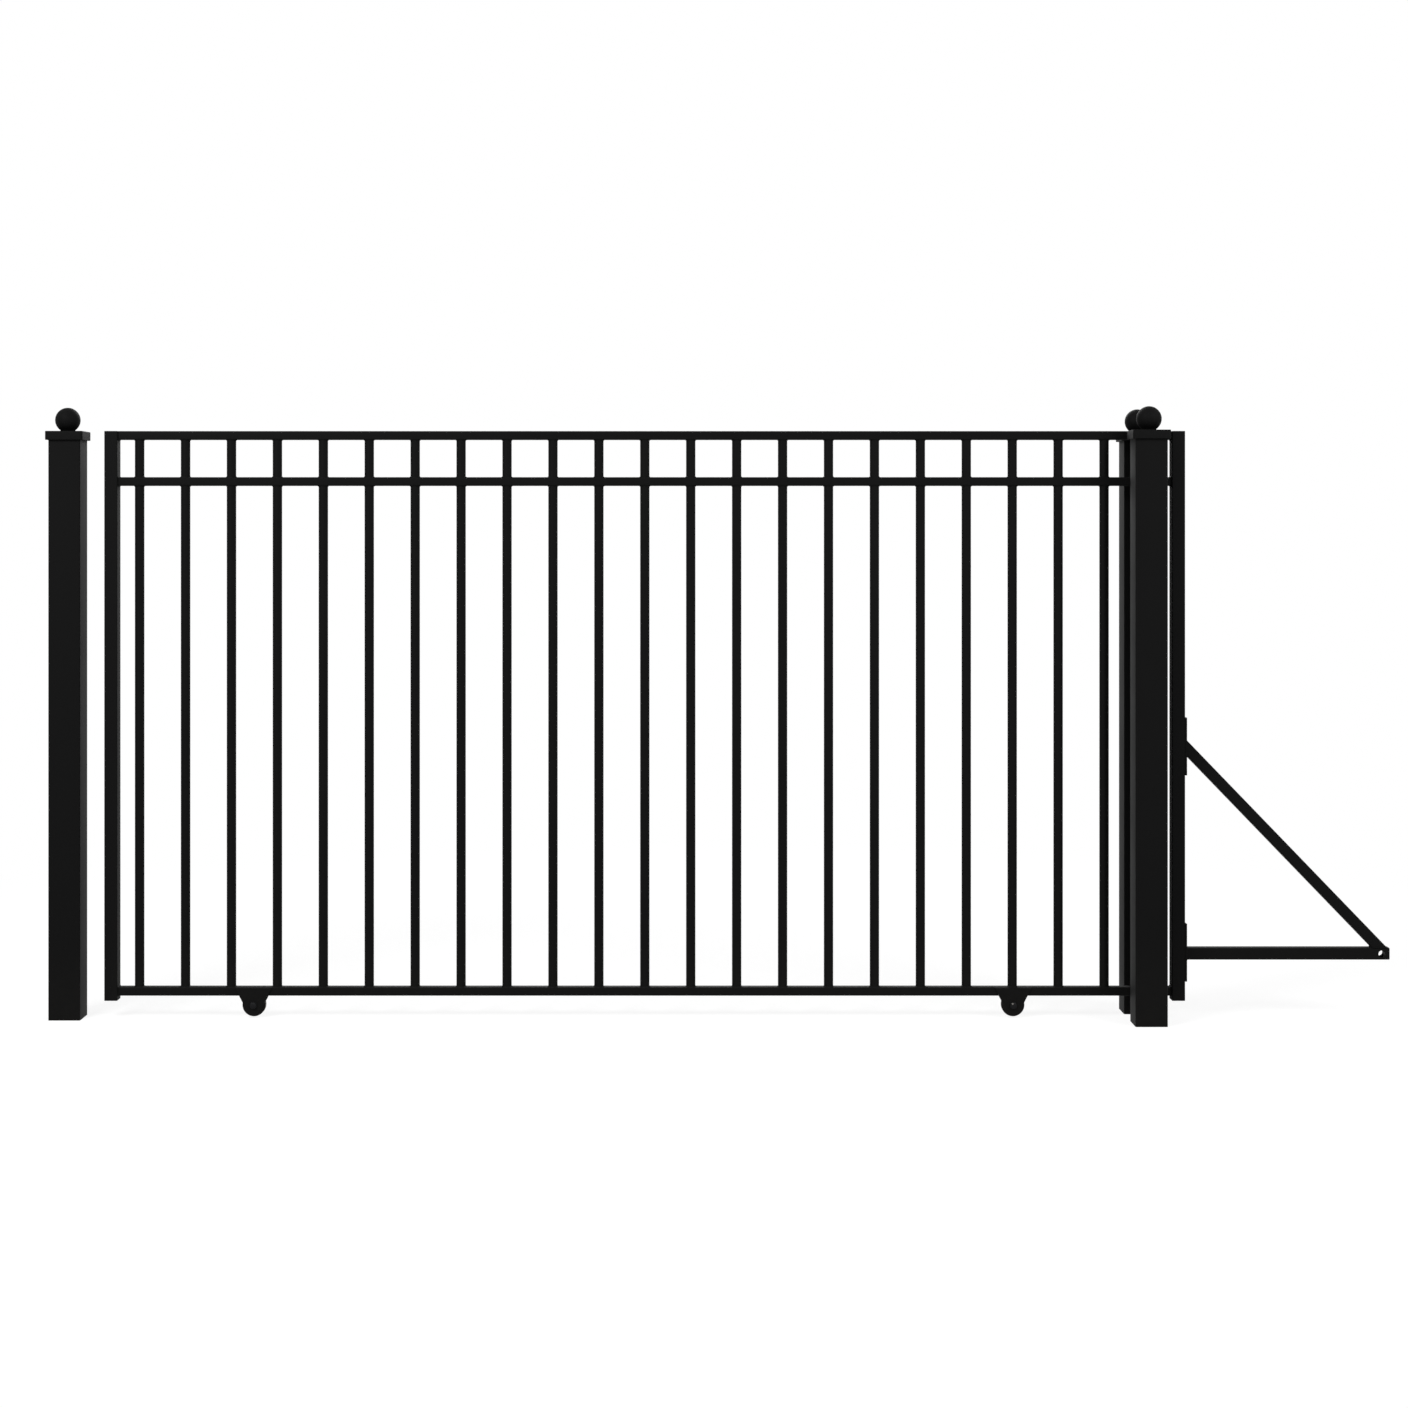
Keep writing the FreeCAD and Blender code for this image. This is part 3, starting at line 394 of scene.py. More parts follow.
def follow_pattern(tree, pattern, colours, roughness, sockets, relief=None):
    """Ends a finish. Colours and roughness are given for the pattern's 0 and its 1, and relief as a
    bump's strength and its depth in mm."""
    colour = add(tree, "ShaderNodeMix", {
        "Factor": pattern, "A": linear(colours[0]), "B": linear(colours[1]),
    }, data_type="RGBA")
    rough = add(tree, "ShaderNodeMapRange", {
        "Value": pattern, "To Min": roughness[0], "To Max": roughness[1],
    })
    sockets = {"Base Color": colour, "Roughness": rough, **sockets}
    if relief:
        bump = add(tree, "ShaderNodeBump", {
            "Height": pattern, "Strength": relief[0], "Distance": relief[1] * MM,
        })
        sockets["Normal"] = bump
    surface = add(tree, "ShaderNodeBsdfPrincipled", sockets)
    add(tree, "ShaderNodeOutputMaterial", {"Surface": surface})


black_zinc, tree, place = new_material("black_zinc_plated_steel")
cloud = add(tree, "ShaderNodeTexNoise", {"Vector": place, "Scale": 1 / CLOUD, "Detail": 4.0})
follow_pattern(
    tree, cloud, colours=("#141415", "#262627"), roughness=(0.42, 0.62),
    relief=(0.1, 0.05), sockets={"Metallic": 1.0},
)
print(black_zinc.name, "cloud scale", round(1 / CLOUD))

# %% [markdown]
# Tube plugs are moulded in black polyethylene. The mould is spark-eroded, which leaves a fine even
# grain of about half a millimetre, drawn here at 1.5 mm to show. The eye gets a plastic that is a
# little greyer and duller than the paint.

# %% Moulded polyethylene
SPARK_GRAIN = 1.5 * MM

moulded_polyethylene, tree, place = new_material("moulded_black_polyethylene")
grain = add(tree, "ShaderNodeTexNoise", {"Vector": place, "Scale": 1 / SPARK_GRAIN, "Detail": 2.0})
follow_pattern(
    tree, grain, colours=("#080808", "#0c0c0c"), roughness=(0.5, 0.7),
    relief=(0.25, 0.1), sockets={"IOR": 1.51, "Specular IOR Level": 0.08},
)
print(moulded_polyethylene.name, "grain scale", round(1 / SPARK_GRAIN))

# %% [markdown]
# The guide rollers are turned from black nylon rod. The tool leaves rings about the roller's own
# axis, drawn 1.2 mm apart where real ones are finer, and the tread, which the top rail rolls
# against, is polished by use. The eye gets a soft shine in narrow bands.

# %% Turned nylon
NYLON_FEED = 1.2 * MM

turned_nylon, tree, place = new_material("turned_black_nylon")
rings = add(tree, "ShaderNodeTexWave", {
    "Vector": place, "Scale": 1 / (NYLON_FEED * WAVES_PER_METRE), "Distortion": 0.3,
}, wave_type="BANDS", bands_direction="Z")
follow_pattern(
    tree, rings, colours=("#0a0a0a", "#101010"), roughness=(0.34, 0.46),
    relief=(0.2, 0.08), sockets={"IOR": 1.53, "Specular IOR Level": 0.2},
)
print(turned_nylon.name, f"rings {NYLON_FEED / MM:.1f} mm apart")

# %% [markdown]
# The tubes, plates and brackets keep their CAD shape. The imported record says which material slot
# each node has, so one table from slot to finish dresses them all.

# %% Dress the CAD nodes
FINISHES = {
    "powder_coat": satin_powder_coat,
    "cap_casting": cast_powder_coat,
    "wheel_steel": turned_steel,
    "bolt_steel": black_zinc,
    "black_plastic": moulded_polyethylene,
    "black_nylon": turned_nylon,
}
for subpart in frame["record"]["subparts"]:
    node = frame["nodes"][subpart["node"]]
    node.data.materials.clear()
    node.data.materials.append(FINISHES[subpart["material_slot"]])

# %% [markdown]
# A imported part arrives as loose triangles, so its round corners would show facets. The mesh itself
# has to stay as it is, but a modifier may work on it: this one joins the triangles and shades them
# smooth wherever two of them meet at less than 30 degrees, which leaves the real edges sharp.

# %% Smooth shading by a modifier
SHARP_ANGLE = math.radians(30)
JOIN_DISTANCE = 0.002 * MM

smooth_group = bpy.data.node_groups.new("smooth_by_edge_angle", "GeometryNodeTree")
for way in ("INPUT", "OUTPUT"):
    smooth_group.interface.new_socket("Geometry", in_out=way, socket_type="NodeSocketGeometry")
start = add(smooth_group, "NodeGroupInput")
joined = add(smooth_group, "GeometryNodeMergeByDistance", {
    "Geometry": start, "Distance": JOIN_DISTANCE,
})
faces = add(smooth_group, "GeometryNodeSetShadeSmooth", {
    "Geometry": joined, "Shade Smooth": True,
}, domain="FACE")
angle = add(smooth_group, "GeometryNodeInputMeshEdgeAngle")
shallow = add(smooth_group, "FunctionNodeCompare", {
    0: angle.outputs["Unsigned Angle"], 1: SHARP_ANGLE,
}, operation="LESS_THAN")
edges = add(smooth_group, "GeometryNodeSetShadeSmooth", {
    "Geometry": faces, "Shade Smooth": shallow,
}, domain="EDGE")
add(smooth_group, "NodeGroupOutput", {0: edges})
for node in frame["nodes"].values():
    node.modifiers.new("smooth_by_edge_angle", "NODES").node_group = smooth_group
print("smoothed", len(frame["nodes"]), "nodes")

# %% [markdown]
# The pieces from here on are built from rings of points with bmesh. Blender's own cylinder and
# circle would do for one ring, but not for a row of them along a profile. A few helpers do the
# common work: they place points about an axis, join neighbouring rings with faces, and turn a
# profile as a lathe does.

# %% Helpers for meshes
def angles(count):
    """Equal steps round a full turn."""
    return [math.tau * step / count for step in range(count)]


def around(radius, angle, height=0.0):
    """The point at this angle about the Z axis, at a radius from it and a height along it."""
    return Vector((radius * math.cos(angle), radius * math.sin(angle), height))


def skin(bm, rings, place=Matrix(), looped=False):
    """Joins rings of equally many points, put in place by a matrix. The last ring of a looped skin
    meets the first one, and any other skin has its two ends capped."""
    rings = [[bm.verts.new(place @ point) for point in ring] for ring in rings]
    for ring, following in zip(rings, rings[1:] + rings[:looped]):
        for index, vertex in enumerate(ring):
            after = (index + 1) % len(ring)
            bm.faces.new((vertex, ring[after], following[after], following[index]))
    if not looped:
        bm.faces.new(rings[0])
        bm.faces.new(rings[-1])


def turn(bm, profile, place, segments, bored=False):
    """Turns (radius, height) points about the Z axis of a placing matrix. The profile of a bored
    piece closes on its own start."""
    rings = []
    for radius, height in profile:
        rings.append([around(radius, angle, height) for angle in angles(segments)])
    skin(bm, rings, place, looped=bored)


print("six points round a circle:", [round(math.degrees(angle)) for angle in angles(6)])

# %% [markdown]
# A finished mesh becomes a piece of the gate by riding on a body of the CAD model, so that it moves
# when the leaf slides or a wheel turns. The same helper shades the mesh smooth with its real edges
# kept sharp, and hides the CAD node that the piece stands for, if any.

# %% Helper for pieces
SMOOTH_ANGLE = math.radians(38)


def add_piece(name, bm, finish, body, replaces=(), origin=Vector()):
    """Makes a piece of a bmesh that is drawn about its origin, and lets it ride on a CAD body."""
    bmesh.ops.recalc_face_normals(bm, faces=bm.faces)
    mesh = bpy.data.meshes.new(name)
    bm.to_mesh(mesh)
    bm.free()
    mesh.polygons.foreach_set("use_smooth", [True] * len(mesh.polygons))
    mesh.set_sharp_from_angle(angle=SMOOTH_ANGLE)
    mesh.materials.append(finish)
    piece = bpy.data.objects.new(name, mesh)
    piece.location = origin
    scene.collection.objects.link(piece)
    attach(piece, body)
    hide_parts(*replaces)
    print(name, len(mesh.polygons), "faces")
    return piece


print("edges steeper than", round(math.degrees(SMOOTH_ANGLE)), "degrees stay sharp")

# %% [markdown]
# Every joint of the leaf is a fillet weld: a bead that fills the inner corner between two pieces,
# with ripples where each drop of metal froze. It could be a bevelled curve, but a curve has one
# round section. Here each point of the seam gives a corner and two legs, one along each piece, so
# the bead can lie on a tube's round corner as well as on a flat.

# %% Weld bead helper
RIPPLE = 0.13
STEPS_PER_RIPPLE = 4
# Shares of the nearer and the farther leg at the two points between the legs, for a low crown
CROWN_NEAR = 0.82
CROWN_FAR = 0.46


def weld(bm, seam, closed=True):
    """Lays a bead along a seam of (corner, first leg, second leg), each leg a vector."""
    rings = []
    for step, (corner, first, second) in enumerate(seam):
        swell = 1 + RIPPLE * math.sin(math.tau * step / STEPS_PER_RIPPLE)
        rings.append([
            corner,
            corner + first * swell,
            corner + (first * CROWN_NEAR + second * CROWN_FAR) * swell,
            corner + (first * CROWN_FAR + second * CROWN_NEAR) * swell,
            corner + second * swell,
        ])
    skin(bm, rings, looped=closed)


print("weld ripples every", STEPS_PER_RIPPLE, "steps")

# %% [markdown]
# A picket is nearly as wide as the rail that it is welded to, so the feet of its welds sink where
# they reach the rail's rounded corners. A flat ring would hang in the air there. The height of each
# point follows from the corner's radius instead.

# %% Picket welds
WELD_STEPS = 96
WELD_LEG = 2.4 * MM
# The bead starts just inside the tube, at this share of its radius
WELD_ROOT = 0.96
SINK_SHARE = 0.8
RAIL_CORNER = 4 * MM


def rail_sink(y):
    """How far the rail's rounded corner lies below its flat at this distance from the middle."""
    past = min(max(abs(y) - (rail_half.y - RAIL_CORNER), 0), RAIL_CORNER)
    return RAIL_CORNER - math.sqrt(RAIL_CORNER ** 2 - past ** 2)


def picket_weld(bm, radius, level, up):
    """A ring of weld round a picket's end. Up is 1 where the rail is below, and -1 where above."""
    seam = []
    for angle in angles(WELD_STEPS):
        outward = around(1, angle)
        root_level = level - up * rail_sink(radius * outward.y)
        foot_drop = -up * SINK_SHARE * rail_sink((radius + WELD_LEG) * outward.y)
        corner = outward * (radius * WELD_ROOT) + Vector((0, 0, root_level))
        foot = outward * (WELD_LEG + radius * (1 - WELD_ROOT)) + Vector((0, 0, foot_drop))
        seam.append((corner, foot, Vector((0, 0, up * WELD_LEG))))
    weld(bm, seam)


print(f"a weld's foot sinks {rail_sink(rail_half.y) / MM:.1f} mm at the rail's face")

# %% [markdown]
# The leaf has a row of short pickets under the top rail and a row of long ones below. In the CAD
# they have flats, to keep the solids light, so round tubes replace them here. One picket is drawn
# with its two welds, and an Array modifier repeats it along the rail, which keeps all of them
# alike.

# %% Pickets
PICKET_COUNT = 23
PICKET_SEGMENTS = 40
upwards = Matrix.Identity(4)

for node in ("upper_pickets", "lower_pickets"):
    low, high, centre, half = box_of(node)
    radius = half.y
    pitch = 2 * (half.x - radius) / (PICKET_COUNT - 1)
    bm = bmesh.new()
    turn(bm, [(radius, low.z), (radius, centre.z), (radius, high.z)], upwards, PICKET_SEGMENTS)
    picket_weld(bm, radius, low.z, 1)
    picket_weld(bm, radius, high.z, -1)
    origin = Vector((low.x + radius, centre.y, 0))
    row = add_piece(f"{node}_round", bm, satin_powder_coat, "leaf", [node], origin)
    array = row.modifiers.new("along_the_rail", "ARRAY")
    array.count = PICKET_COUNT
    array.use_relative_offset = False
    array.use_constant_offset = True
    array.constant_offset_displace = (pitch, 0, 0)

# %% [markdown]
# Caps, plugs, tubes and the beads round them all have a square or oblong outline with round
# corners. A bevel could round a plain square, but it wouldn't say which way each point faces. So
# one helper walks round such an outline in even steps and gives each point with its outward
# direction. A second stacks copies of an outline, each drawn in by its own inset, and a third gives
# the insets of a rounded edge.

# %% Rounded outlines
CAP_WIDTH = 120 * MM
CAP_CORNER = 6 * MM
CAP_SPACING = 3 * MM
FEWEST_BEND_STEPS = 3
EDGE_STEPS = 4


def rounded_rectangle(half_across, half_up, corner, spacing):
    """Points round a rectangle with round corners, from its top, each with the way it faces."""
    points = []

    def straight(start, end, outward):
        steps = max(1, round((end - start).length / spacing))
        points.extend((start.lerp(end, step / steps), outward) for step in range(steps))

    bend_steps = max(FEWEST_BEND_STEPS, round(corner * QUARTER_TURN / spacing))
    at = Vector((0, half_up))
    outward = Vector((0, 1))
    for right, up in ((1, 1), (1, -1), (-1, -1), (-1, 1)):
        centre = Vector((right * (half_across - corner), up * (half_up - corner)))
        straight(at, centre + outward * corner, outward)
        for step in range(bend_steps):
            turned = outward.copy()
            turned.rotate(Matrix.Rotation(-QUARTER_TURN * step / bend_steps, 2))
            points.append((centre + turned * corner, turned))
        outward = Vector((outward.y, -outward.x))
        at = centre + outward * corner
    straight(at, Vector((0, half_up)), outward)
    return points


def stack(bm, outline, levels, place):
    """A closed skin over levels of (inset, height), each the outline drawn in by its inset."""
    rings = []
    for inset, height in levels:
        rings.append([Vector((*(point - outward * inset), height)) for point, outward in outline])
    skin(bm, rings, place)


def rounded_over(edge, top):
    """Levels that round an edge over, from the side of a piece up to its top."""
    levels = []
    for step in range(EDGE_STEPS + 1):
        angle = QUARTER_TURN * step / EDGE_STEPS
        levels.append((edge * (1 - math.cos(angle)), top - edge * (1 - math.sin(angle))))
    return levels


cap_outline = rounded_rectangle(CAP_WIDTH / 2, CAP_WIDTH / 2, CAP_CORNER, CAP_SPACING)
print("points round a cap:", len(cap_outline))

# %% [markdown]
# A ball cap is a shallow square casting that slips over the post, with a ball on a small cove. Both
# edges of the skirt are rounded over, as a mould needs. The skirt is a stack of rounded squares,
# and the ball is turned from one profile, because a plain sphere has no cove: a curve up from the
# flat top, then the arc of the ball to its pole.

# %% Post caps
CAP_HEIGHT = 28 * MM
CAP_WALL = 4 * MM
CAP_EDGE = 2 * MM
CAP_RIM_EDGE = 0.4 * MM
BALL_RADIUS = 40 * MM
BALL_SINK = 3.5 * MM
BALL_ROOT = 1 * MM
COVE = 1.5 * MM
COVE_STEPS = 8
BALL_STEPS = 28
BALL_SEGMENTS = 64


def skirt_levels():
    """From inside the skirt, down round its rim and over its top edge, as (inset, height)."""
    return [
        (CAP_WALL, CAP_HEIGHT - CAP_WALL), (CAP_WALL, CAP_RIM_EDGE), (CAP_WALL - CAP_RIM_EDGE, 0),
        (CAP_RIM_EDGE, 0), (0, CAP_RIM_EDGE), *rounded_over(CAP_EDGE, CAP_HEIGHT),
    ]


def ball_profile():
    """From the foot of the cove to the pole of the ball, as (radius, height) above the rim."""
    ball_middle = CAP_HEIGHT - BALL_SINK + BALL_RADIUS
    drop = ball_middle - CAP_HEIGHT - COVE
    meet = math.sqrt((BALL_RADIUS + COVE) ** 2 - drop ** 2)
    lean = math.atan2(drop, meet)
    profile = [(meet, CAP_HEIGHT - BALL_ROOT)]
    for step in range(COVE_STEPS + 1):
        angle = -QUARTER_TURN - (QUARTER_TURN - lean) * step / COVE_STEPS
        cove_height = CAP_HEIGHT + COVE + COVE * math.sin(angle)
        profile.append((meet + COVE * math.cos(angle), cove_height))
    for step in range(1, BALL_STEPS):
        angle = -lean + (QUARTER_TURN + lean) * step / BALL_STEPS
        profile.append((BALL_RADIUS * math.cos(angle), ball_middle + BALL_RADIUS * math.sin(angle)))
    return profile


cap_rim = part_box("post_caps")[0].z
bm = bmesh.new()
for post in ("latch_post", "front_guide_post", "rear_guide_post"):
    _, _, centre, _ = box_of(post)
    on_post = Matrix.Translation((centre.x, centre.y, cap_rim))
    stack(bm, cap_outline, skirt_levels(), on_post)
    turn(bm, ball_profile(), on_post, BALL_SEGMENTS)
add_piece("ball_caps", bm, cast_powder_coat, "posts", ["post_caps"])

# %% [markdown]
# A gate wheel is a turned disc with a square V groove that straddles its track. The CAD has the
# same shape with sharp edges. Here the flanges get the small radius that keeps them from chipping,
# and a step round the hub shows the pressed-in bearing. One half of the section is written down,
# and the other is its mirror image.

# %% Wheels
WHEEL_RIM_HALF = 10 * MM
GROOVE_DEPTH = 7 * MM
GROOVE_FLOOR_HALF = 1 * MM
GROOVE_EDGE = 0.3 * MM
FLANGE_EDGE = 0.8 * MM
FLANGE_BULGE = 0.3
HUB_RADIUS = 13 * MM
HUB_EDGE = 0.5 * MM
BORE_RADIUS = 6.1 * MM
BEARING_RADIUS = 17.5 * MM
BEARING_STEP = 0.8 * MM
WHEEL_SEGMENTS = 72
towards_rear = Matrix.Rotation(-QUARTER_TURN, 4, "X")


def wheel_profile(radius, hub_half):
    """The section from the bore, by one side, the groove and the other side, back to the bore."""
    groove_half = GROOVE_FLOOR_HALF + GROOVE_DEPTH
    bearing_face = WHEEL_RIM_HALF - BEARING_STEP
    bulge = FLANGE_EDGE * FLANGE_BULGE
    half = [
        (BORE_RADIUS, hub_half),
        (HUB_RADIUS - HUB_EDGE, hub_half),
        (HUB_RADIUS, hub_half - HUB_EDGE),
        (HUB_RADIUS, bearing_face),
        (BEARING_RADIUS, bearing_face),
        (BEARING_RADIUS, WHEEL_RIM_HALF),
        (radius - FLANGE_EDGE, WHEEL_RIM_HALF),
        (radius - bulge, WHEEL_RIM_HALF - bulge),
        (radius, WHEEL_RIM_HALF - FLANGE_EDGE),
        (radius, groove_half + GROOVE_EDGE),
        (radius - GROOVE_EDGE, groove_half - GROOVE_EDGE),
        (radius - GROOVE_DEPTH, GROOVE_FLOOR_HALF),
    ]
    return half + [(out, -across) for out, across in reversed(half)]


for node in ("leading_wheel", "trailing_wheel"):
    _, _, axle, half = box_of(node)
    bm = bmesh.new()
    turn(bm, wheel_profile(half.z, half.y), towards_rear, WHEEL_SEGMENTS, bored=True)
    add_piece(f"{node}_turned", bm, turned_steel, node, [node], axle)

# %% [markdown]
# Hexagon bolts hold the wheels and the guide rollers. What tells a real head from a hexagonal prism
# is its chamfer: the corners are turned off at 30 degrees, which leaves a round top and a curved
# edge on each flat. So the outline of the head is walked in small steps, and each point drops by
# its distance from the round top.

# %% Hexagon heads and washers
HEX_SIDES = 6
HEX_STEPS = 8
SIXTH_TURN = math.tau / HEX_SIDES
CHAMFER_SLOPE = math.tan(math.radians(30))
ROUND_TOP = 0.96
WASHER_EDGE = 0.25
WASHER_SEGMENTS = 40


def hex_radius(flats, angle):
    """How far a hexagon's outline lies from its middle at this angle."""
    return flats / 2 / math.cos(angle % SIXTH_TURN - SIXTH_TURN / 2)


def hexagon(bm, flats, height, place):
    """A chamfered hexagon head or nut that stands on the XY plane of a placing matrix."""
    top_radius = flats / 2 * ROUND_TOP
    foot, edge, top = [], [], []
    for angle in angles(HEX_SIDES * HEX_STEPS):
        radius = hex_radius(flats, angle)
        drop = (radius - top_radius) * CHAMFER_SLOPE
        foot.append(around(radius, angle))
        edge.append(around(radius, angle, height - drop))
        top.append(around(top_radius, angle, height))
    skin(bm, [foot, edge, top], place)


def head_on_washer(bm, flats, height, washer_radius, thickness, seat):
    """A head or nut on its washer, with a height that counts both."""
    edge = thickness * WASHER_EDGE
    profile = [
        (washer_radius - edge, 0), (washer_radius, edge),
        (washer_radius, thickness - edge), (washer_radius - edge, thickness),
    ]
    turn(bm, profile, seat, WASHER_SEGMENTS)
    hexagon(bm, flats, height - thickness, seat @ Matrix.Translation((0, 0, thickness)))


print("hexagon drawn with", HEX_SIDES * HEX_STEPS, "points")

# %% [markdown]
# Each wheel turns on a bolt through both ears, with its head in front and its nut behind. The CAD
# gives the bolt as one plain solid, whose box says where the head and the end of the shank have to
# be. Only a little of the shank shows, past the nut and beside the hub, but it is turned whole, so
# that nothing floats.

# %% Axle bolts
AXLE_FLATS = 19 * MM
AXLE_RADIUS = 6 * MM
AXLE_NUT = 10 * MM
AXLE_TAIL = 3 * MM
AXLE_HEAD = 7.5 * MM
AXLE_CHAMFER = 1 * MM
AXLE_WASHER = 2 * MM
AXLE_WASHER_RADIUS = 12 * MM
AXLE_SEGMENTS = 40
towards_front = Matrix.Rotation(QUARTER_TURN, 4, "X")

for node in ("leading_wheel_axle", "trailing_wheel_axle"):
    low, high, centre, _ = box_of(node)
    ear_front = low.y + AXLE_HEAD
    ear_rear = high.y - AXLE_TAIL - AXLE_NUT
    shank_length = high.y - ear_front
    bm = bmesh.new()
    for face, turn_to, height in (
        (ear_front, towards_front, AXLE_HEAD), (ear_rear, towards_rear, AXLE_NUT),
    ):
        on_ear = Matrix.Translation((0, face, 0)) @ turn_to
        head_on_washer(bm, AXLE_FLATS, height, AXLE_WASHER_RADIUS, AXLE_WASHER, on_ear)
    shank = [
        (AXLE_RADIUS, 0), (AXLE_RADIUS, shank_length - AXLE_CHAMFER),
        (AXLE_RADIUS - AXLE_CHAMFER, shank_length),
    ]
    turn(bm, shank, Matrix.Translation((0, ear_front, 0)) @ towards_rear, AXLE_SEGMENTS)
    axle = Vector((centre.x, 0, centre.z))
    add_piece(f"{node}_bolt", bm, black_zinc, "leaf", [node], axle)

# %% [markdown]
# The trailing bolt has a bright speck above the middle of its head, and the leading one has none.
# It is a painted highlight: a glint, drawn as a flake of bare steel as if the plating were chipped
# there. Bare steel is much lighter than the plate, so the eye gets one point of light. Its
# scratches are drawn coarser than real ones, at 1.2 mm.

# %% Bare steel for a painted glint
SCRATCH = 1.2 * MM

# Painted highlight: light bare steel that stands in for a glint on the trailing bolt's head
painted_glint_steel, tree, place = new_material("bare_steel_as_painted_glint")
scratch = add(tree, "ShaderNodeTexNoise", {"Vector": place, "Scale": 1 / SCRATCH, "Detail": 3.0})
follow_pattern(
    tree, scratch, colours=("#5c5a57", "#86837f"), roughness=(0.32, 0.5),
    sockets={"Metallic": 1.0},
)
print(painted_glint_steel.name, "scratch scale", round(1 / SCRATCH))

# %% [markdown]
# The painted glint could be a spot in the plate's own colour, but then every bolt would carry it. So
# it is a low flake of its own on this one head. Two waves of different length round its edge make it
# uneven.

# %% Painted glint on the trailing bolt
GLINT_RADIUS = 2.9 * MM
GLINT_HEIGHT = 0.3 * MM
GLINT_PLACE = Vector((-3.0, 0, 6.2)) * MM
GLINT_STEPS = 24
# Shares of the glint flake's radius and height, from its foot to its middle
GLINT_RINGS = ((1.0, 0.0), (0.85, 1.0), (0.3, 0.7))
# Waves round the edge, the share of the radius that they add, and where they start
GLINT_WAVES = ((3, 0.14, 0), (5, 0.08, 1))

low, _, centre, _ = box_of("trailing_wheel_axle")
glint_middle = Vector((centre.x, low.y, centre.z)) + GLINT_PLACE
bm = bmesh.new()
rings = []
for out, up in GLINT_RINGS:
    ring = []
    for angle in angles(GLINT_STEPS):
        swing = sum(size * math.sin(waves * angle + start) for waves, size, start in GLINT_WAVES)
        ring.append(around(GLINT_RADIUS * out * (1 + swing), angle, GLINT_HEIGHT * up))
    rings.append(ring)
skin(bm, rings, towards_front)
# A painted highlight: this light steel flake stands in for a glint on the bolt's head
add_piece("trailing_bolt_painted_glint", bm, painted_glint_steel, "leaf", origin=glint_middle)

# %% [markdown]
# At the guide posts a roller on each side of the top rail keeps the leaf upright. It is turned in
# one piece, with a narrow hub below that holds it off its bracket, a slight chamfer at each end of
# the tread, and a bore for its bolt.

# %% Guide rollers
ROLLER_CHAMFER = 1.2 * MM
ROLLER_TREAD = 22 * MM
ROLLER_HUB_RADIUS = 8.5 * MM
ROLLER_BORE = 4.1 * MM
ROLLER_SEGMENTS = 64

for node in ("front_guide_roller", "rear_guide_roller"):
    low, high, centre, half = box_of(node)
    radius = half.x
    top = high.z - low.z
    base = top - ROLLER_TREAD
    bm = bmesh.new()
    profile = [
        (ROLLER_BORE, 0),
        (ROLLER_HUB_RADIUS, 0),
        (ROLLER_HUB_RADIUS, base),
        (radius - ROLLER_CHAMFER, base),
        (radius, base + ROLLER_CHAMFER),
        (radius, top - ROLLER_CHAMFER),
        (radius - ROLLER_CHAMFER, top),
        (ROLLER_BORE, top),
    ]
    turn(bm, profile, upwards, ROLLER_SEGMENTS, bored=True)
    foot = Vector((centre.x, centre.y, low.z))
    add_piece(f"{node}_turned", bm, turned_nylon, "posts", [node], foot)

# %% [markdown]
# Each roller turns on an upright bolt in a bent bracket, with the head above the roller and the nut
# below the bracket. It is made as the axle bolts are, from the same head and a thinner shank.

# %% Guide pins
PIN_FLATS = 13 * MM
PIN_RADIUS = 4 * MM
PIN_HEAD = 5.5 * MM
PIN_TAIL = 2 * MM
PIN_CHAMFER = 0.8 * MM
PIN_WASHER = 1.2 * MM
PIN_WASHER_RADIUS = 8 * MM
PIN_SEGMENTS = 32
downwards = Matrix.Rotation(2 * QUARTER_TURN, 4, "X")

for node in ("front_guide_pin", "rear_guide_pin"):
    low, high, centre, _ = box_of(node)
    head_base = high.z - PIN_HEAD
    nut_top = low.z + PIN_TAIL + PIN_HEAD
    bm = bmesh.new()
    for level, turn_to in ((head_base, upwards), (nut_top, downwards)):
        seat = Matrix.Translation((0, 0, level)) @ turn_to
        head_on_washer(bm, PIN_FLATS, PIN_HEAD, PIN_WASHER_RADIUS, PIN_WASHER, seat)
    shank = [
        (PIN_RADIUS - PIN_CHAMFER, low.z), (PIN_RADIUS, low.z + PIN_CHAMFER),
        (PIN_RADIUS, head_base),
    ]
    turn(bm, shank, upwards, PIN_SEGMENTS)
    axis = Vector((centre.x, centre.y, 0))
    add_piece(f"{node}_bolt", bm, black_zinc, "posts", [node], axis)

# %% [markdown]
# Two more bolts hold the leg of each bracket to its post. They are too small for the CAD, so their
# places are measured from the bracket's box: from its top down, and one leg's thickness off the
# post.

# %% Bracket bolts
BRACKET_LEG = 5 * MM
BRACKET_BOLT_DROPS = (28 * MM, 50 * MM)

# A side is -1 in front of the leaf, and 1 behind it
for bracket, side in (("front_guide_bracket", -1), ("rear_guide_bracket", 1)):
    low, high, centre, _ = box_of(bracket)
    post_face = low.y if side < 0 else high.y
    leg_face = post_face - side * BRACKET_LEG
    towards_leaf = towards_rear if side < 0 else towards_front
    bm = bmesh.new()
    for drop in BRACKET_BOLT_DROPS:
        seat = Matrix.Translation((0, leg_face, high.z - drop)) @ towards_leaf
        head_on_washer(bm, PIN_FLATS, PIN_HEAD, PIN_WASHER_RADIUS, PIN_WASHER, seat)
    middle_line = Vector((centre.x, 0, 0))
    add_piece(f"{bracket}_bolts", bm, black_zinc, "posts", origin=middle_line)

# %% [markdown]
# Moulded plugs close the ends of the uprights and of the tail. Their edge is rounded over, so a
# thin line of light runs round each one. Each plug is one stack of rounded squares, from the end of
# the leg inside the tube to the top of the head.

